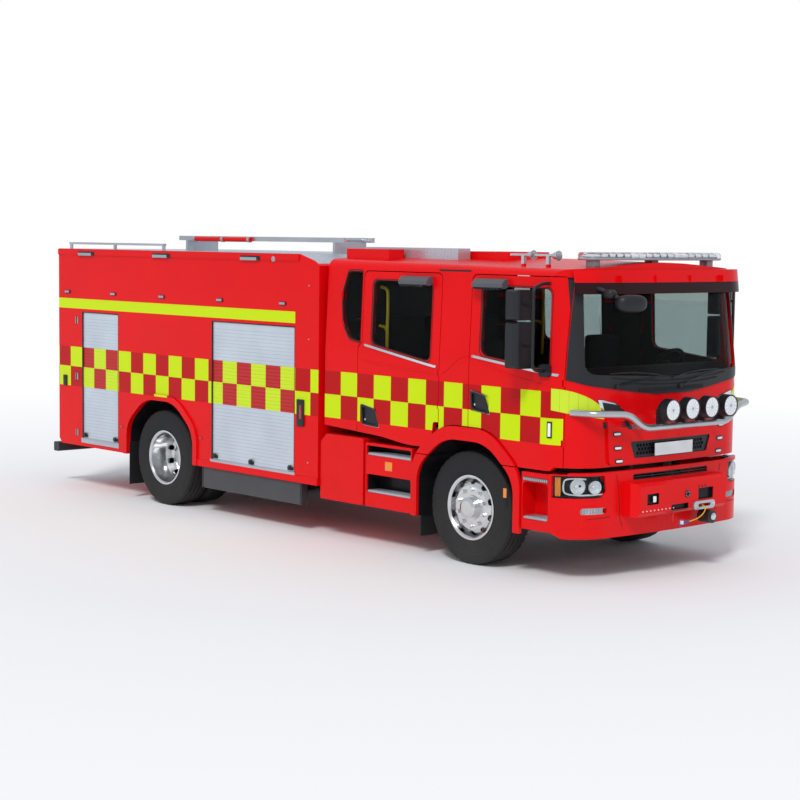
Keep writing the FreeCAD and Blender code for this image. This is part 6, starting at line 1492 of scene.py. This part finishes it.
def make_small_metal():
    bright, dark, white, tube, clamps = new_meshes(5)
    for i in range(9):
        add_turned(bright, ((0.0, 0.008), (0.004, 0.007), (0.005, 0.0)),
                   (i * 0.052 - 0.56, BEAM_FACE, 0.612), FORWARD, 12)
    for x in (0.21, 0.255, 0.3):
        add_turned(dark, ((0.0, 0.01), (0.001, 0.01), (0.0012, 0.0)), (x, BEAM_FACE, 0.775), FORWARD, 16)
    x, z = SOCKET
    add_turned(dark, ((0.0, 0.034), (0.004, 0.034), (0.005, 0.026), (0.0055, 0.0)), (x, BEAM_FACE, z),
               FORWARD, 28)
    for i in range(6):
        turn = math.radians(60 * i + 30)
        add_turned(bright, ((0.0, 0.005), (0.002, 0.004), (0.003, 0.0)),
                   (x + 0.024 * math.cos(turn), BEAM_FACE - 0.005, z + 0.024 * math.sin(turn)), FORWARD, 10)
    add_block(white, (-0.41, BEAM_FACE + 0.002, 0.68), (-0.372, BEAM_FACE + 0.016, 0.735), 0.006, 3)
    add_turned(bright, ((0.0, 0.034), (0.006, 0.032), (0.01, 0.02), (0.011, 0.0)), (0.345, -1.598, 0.4965),
               FORWARD, 28)
    for x in (0.14, 0.396):
        add_turned(bright, ((0.0, 0.012), (0.006, 0.011), (0.008, 0.0)), (x, -1.557, 0.606), FORWARD, 16)
    add_block(white, (-0.1145, -1.6185, 0.468), (-0.0975, -1.59, 0.5), 0.003)
    x, z = TUBE
    add_bar(tube, [(x, y, z) for y in (3.9, 4.4, 4.95)], 0.026, 16)
    for y in (3.93, 4.4, 4.92):
        add_turned(clamps, ((-0.02, 0.031), (0.02, 0.031)), (x, y, z), REARWARD, 20)
    for name, bm, material in (("beam_bolts", bright, "chrome"), ("beam_socket", dark, "grip_rubber"),
                               ("beam_lamp", white, "white_plastic"), ("ladder_tube", tube, "red_paint"),
                               ("ladder_clamps", clamps, "steel")):
        new_piece(name, bm, material)


make_small_metal()
print("small metal ready")

# %% [markdown]
# Black trim covers the corner posts beside the windscreen, a drip slot runs over each middle
# post, and fine dark seams part the bumper's panels.

# %% Posts and seams
FRONT_SEAMS = (((-0.72, 0.93), (-0.69, 0.78), (-0.672, 0.56), (-0.64, 0.47)),
               ((-1.03, 0.56), (-0.9, 0.566), (-0.79, 0.572)))

SEAM_STEPS = 6
SEAM_HALF = 0.0025
# The post is part of the corner's arc: its middle, foot and height, and how far its top leans.
POST_Y = -0.927
POST_FOOT = 1.79
POST_HIGH = 0.99
POST_RAKE = (0.04, 0.13)
POST_LINE = ((-1.085, 2.64, 0.034), (-1.118, 2.4, 0.034), (-1.146, 2.15, 0.032), (-1.172, 1.95, 0.03),
             (-1.19, 1.8, 0.028))


def post_place(y, z, side):
    """Point just outside the corner post, which leans rearward and inward above the belt."""
    rise = (z - POST_FOOT) / POST_HIGH
    inward, rearward = POST_RAKE
    reach = y - POST_Y - rearward * rise
    x = CORNER_X - inward * rise + math.sqrt(CORNER_R ** 2 - reach ** 2) + 0.004
    return Vector((side * x, y, z))


def make_posts():
    posts = bmesh.new()
    for _, side in SIDES:
        rows = [[post_place(y + s * half_w, z, side) for s in (-1.0, -0.5, 0.0, 0.5, 1.0)]
                for y, z, half_w in POST_LINE]
        add_slab(posts, rows, Vector((-side * 0.012, 0.006, 0)), 0.002)
        side_strip(posts, ((0.43, 2.672), (0.225, 2.672), (0.02, 2.672)), side, 0.008, 0.003, 0.008,
                   shell_tree)
    new_piece("post_trim", posts, "black_plastic", "cab")


def make_seams():
    seams = bmesh.new()
    for line in FRONT_SEAMS:
        for _, side in SIDES:
            for start, end in zip(line, line[1:]):
                start, end = (Vector((-side * x, z)) for x, z in (start, end))
                way = (end - start).normalized() * SEAM_HALF
                rows = []
                for i in range(SEAM_STEPS + 1):
                    x, z = start.lerp(end, i / SEAM_STEPS)
                    rows.append([on_front(x - way.y, z + way.x, 0.0015),
                                 on_front(x + way.y, z - way.x, 0.0015)])
                add_slab(seams, rows, Vector((0, 0.006, 0)))
    new_piece("bumper_seams", seams, "grip_rubber")


make_posts()
make_seams()
print("posts and seams", 2 * len(FRONT_SEAMS))

# %% [markdown]
# The seat cushions are foam under woven cloth. Each starts as a rounded form a little smaller
# than its solid, and is blown up slightly as cloth.

# %% Seat cushions
CUSHION_SIZES = {"front_base": (0.466, 0.5, 0.108), "front_back": (0.466, 0.106, 0.56),
                 "rear_base": (0.496, 0.436, 0.088), "rear_back": (0.496, 0.126, 0.61)}
FRONT_SEATS = (-0.72, 0.72)
REAR_SEATS = (-0.81, -0.27, 0.27, 0.81)
CUSHION_SETS = (("front_base", FRONT_SEATS, -0.2125, 1.55), ("front_back", FRONT_SEATS, 0.105, 1.782),
                ("rear_base", REAR_SEATS, 1.585, 1.61), ("rear_back", REAR_SEATS, 1.8795, 1.878))
SWELL_LIMIT = 0.008
CUSHION_INSET = 0.006
PAD_VOXEL = 0.018
CLOTH_PRESSURE = 4.0
CLOTH_FRAMES = 20


def apply_modifiers(piece):
    """Replaces the mesh by what its modifiers give and takes them off."""
    graph = bpy.context.evaluated_depsgraph_get()
    graph.update()
    shaped = bpy.data.meshes.new_from_object(piece.evaluated_get(graph))
    old = piece.data
    piece.modifiers.clear()
    piece.data = shaped
    bpy.data.meshes.remove(old)


def cushion_mesh(name, size):
    """Crowned pad of a size; cloth pressure fills it out, held to a small swell."""
    bm = bmesh.new()
    half = Vector(size) / 2 - Vector([CUSHION_INSET] * 3)
    add_block(bm, -half, half, min(size) * 0.3, 4)
    mesh = bpy.data.meshes.new(name)
    bm.to_mesh(mesh)
    bm.free()
    pad = add_object(name, mesh)
    remesh = pad.modifiers.new("remesh", "REMESH")
    remesh.mode = "VOXEL"
    remesh.voxel_size = PAD_VOXEL
    apply_modifiers(pad)
    start = [v.co.copy() for v in pad.data.vertices]
    cloth = pad.modifiers.new("cloth", "CLOTH")
    cloth.settings.use_pressure = True
    cloth.settings.uniform_pressure_force = CLOTH_PRESSURE
    cloth.settings.effector_weights.gravity = 0.0
    for frame_number in range(1, CLOTH_FRAMES + 1):
        bpy.context.scene.frame_set(frame_number)
    apply_modifiers(pad)
    for v, place in zip(pad.data.vertices, start):
        moved = v.co - place
        if moved.length > SWELL_LIMIT:
            v.co = place + moved.normalized() * SWELL_LIMIT
    bpy.context.scene.frame_set(1)
    smoother = pad.modifiers.new("smooth", "SUBSURF")
    smoother.levels = 1
    smoother.render_levels = 1
    apply_modifiers(pad)
    result = pad.data
    result.polygons.foreach_set("use_smooth", [True] * len(result.polygons))
    bpy.data.objects.remove(pad)
    return result


def make_cushions():
    for kind, places, y, z in CUSHION_SETS:
        mesh = cushion_mesh("cushion_" + kind, CUSHION_SIZES[kind])
        mesh.materials.append(finishes["seat_fabric"])
        for i, x in enumerate(places):
            cushion = add_object("cushion_%s_%d" % (kind, i + 1), mesh.copy())
            cushion.data.transform(Matrix.Translation((x, y + SHIFT_Y, z)))
            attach(cushion, "cab")
            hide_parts("seat_cushions")


make_cushions()
print("cushions", 2 * len(FRONT_SEATS + REAR_SEATS))

# %% [markdown]
# The stage is a plain pale floor under soft, even light. Far from the vehicle the floor fades
# to the white of the background for the camera, so that no horizon shows.

# %% Floor and light
FADE_START = 5.0             # from here on the floor fades to the white of the background
FADE_END = 16.0
FLOOR_HALF = 60.0


def make_stage():
    mesh = bpy.data.meshes.new("floor")
    corners = [(x * FLOOR_HALF, y * FLOOR_HALF, 0) for x, y in ((-1, -1), (1, -1), (1, 1), (-1, 1))]
    mesh.from_pydata(corners, [], [(0, 1, 2, 3)])
    floor = add_object("floor", mesh)
    material, tree, shader = new_material("floor")
    shader.inputs["Base Color"].default_value = (0.9, 0.9, 0.895, 1.0)
    shader.inputs["Roughness"].default_value = 0.8
    place = tree.nodes.new("ShaderNodeTexCoord").outputs["Object"]
    away = link_nodes(tree, "ShaderNodeVectorMath", {0: place}, operation="LENGTH").outputs["Value"]
    seen = tree.nodes.new("ShaderNodeLightPath").outputs["Is Camera Ray"]
    share = calc(tree, "MULTIPLY", remap(tree, away, FADE_START, FADE_END), seen)
    white = link_nodes(tree, "ShaderNodeEmission", {"Color": (1.0, 1.0, 1.0, 1.0), "Strength": 1.0})
    blend = link_nodes(tree, "ShaderNodeMixShader", {0: share, 1: shader.outputs[0], 2: white.outputs[0]})
    tree.links.new(blend.outputs[0], tree.nodes["Material Output"].inputs["Surface"])
    mesh.materials.append(material)


def make_sun():
    data = bpy.data.lights.new("sun", "SUN")
    data.energy = 1.6
    data.angle = math.radians(12)
    sun = add_object("sun", data)
    place = Vector((-9.0, -6.0, 12.0))
    sun.location = place
    sun.rotation_euler = (Vector((0, 0, 1.2)) - place).to_track_quat("-Z", "Y").to_euler()


def make_world():
    world = bpy.data.worlds.new("studio")
    bpy.context.scene.world = world
    world.use_nodes = True
    tree = world.node_tree
    plain = tree.nodes["Background"]
    plain.inputs["Color"].default_value = (0.8, 0.85, 0.92, 1.0)
    plain.inputs["Strength"].default_value = 0.75
    white = link_nodes(tree, "ShaderNodeBackground", {"Color": (1.0, 1.0, 1.0, 1.0), "Strength": 1.0})
    path = tree.nodes.new("ShaderNodeLightPath")
    seen = calc(tree, "MAXIMUM", path.outputs["Is Camera Ray"], path.outputs["Is Transmission Ray"])
    blend = link_nodes(tree, "ShaderNodeMixShader", {0: seen, 1: plain.outputs[0], 2: white.outputs[0]})
    tree.links.new(blend.outputs[0], tree.nodes["World Output"].inputs["Surface"])


make_stage()
make_world()
make_sun()
bpy.context.scene.view_settings.view_transform = "Standard"
print("stage ready")
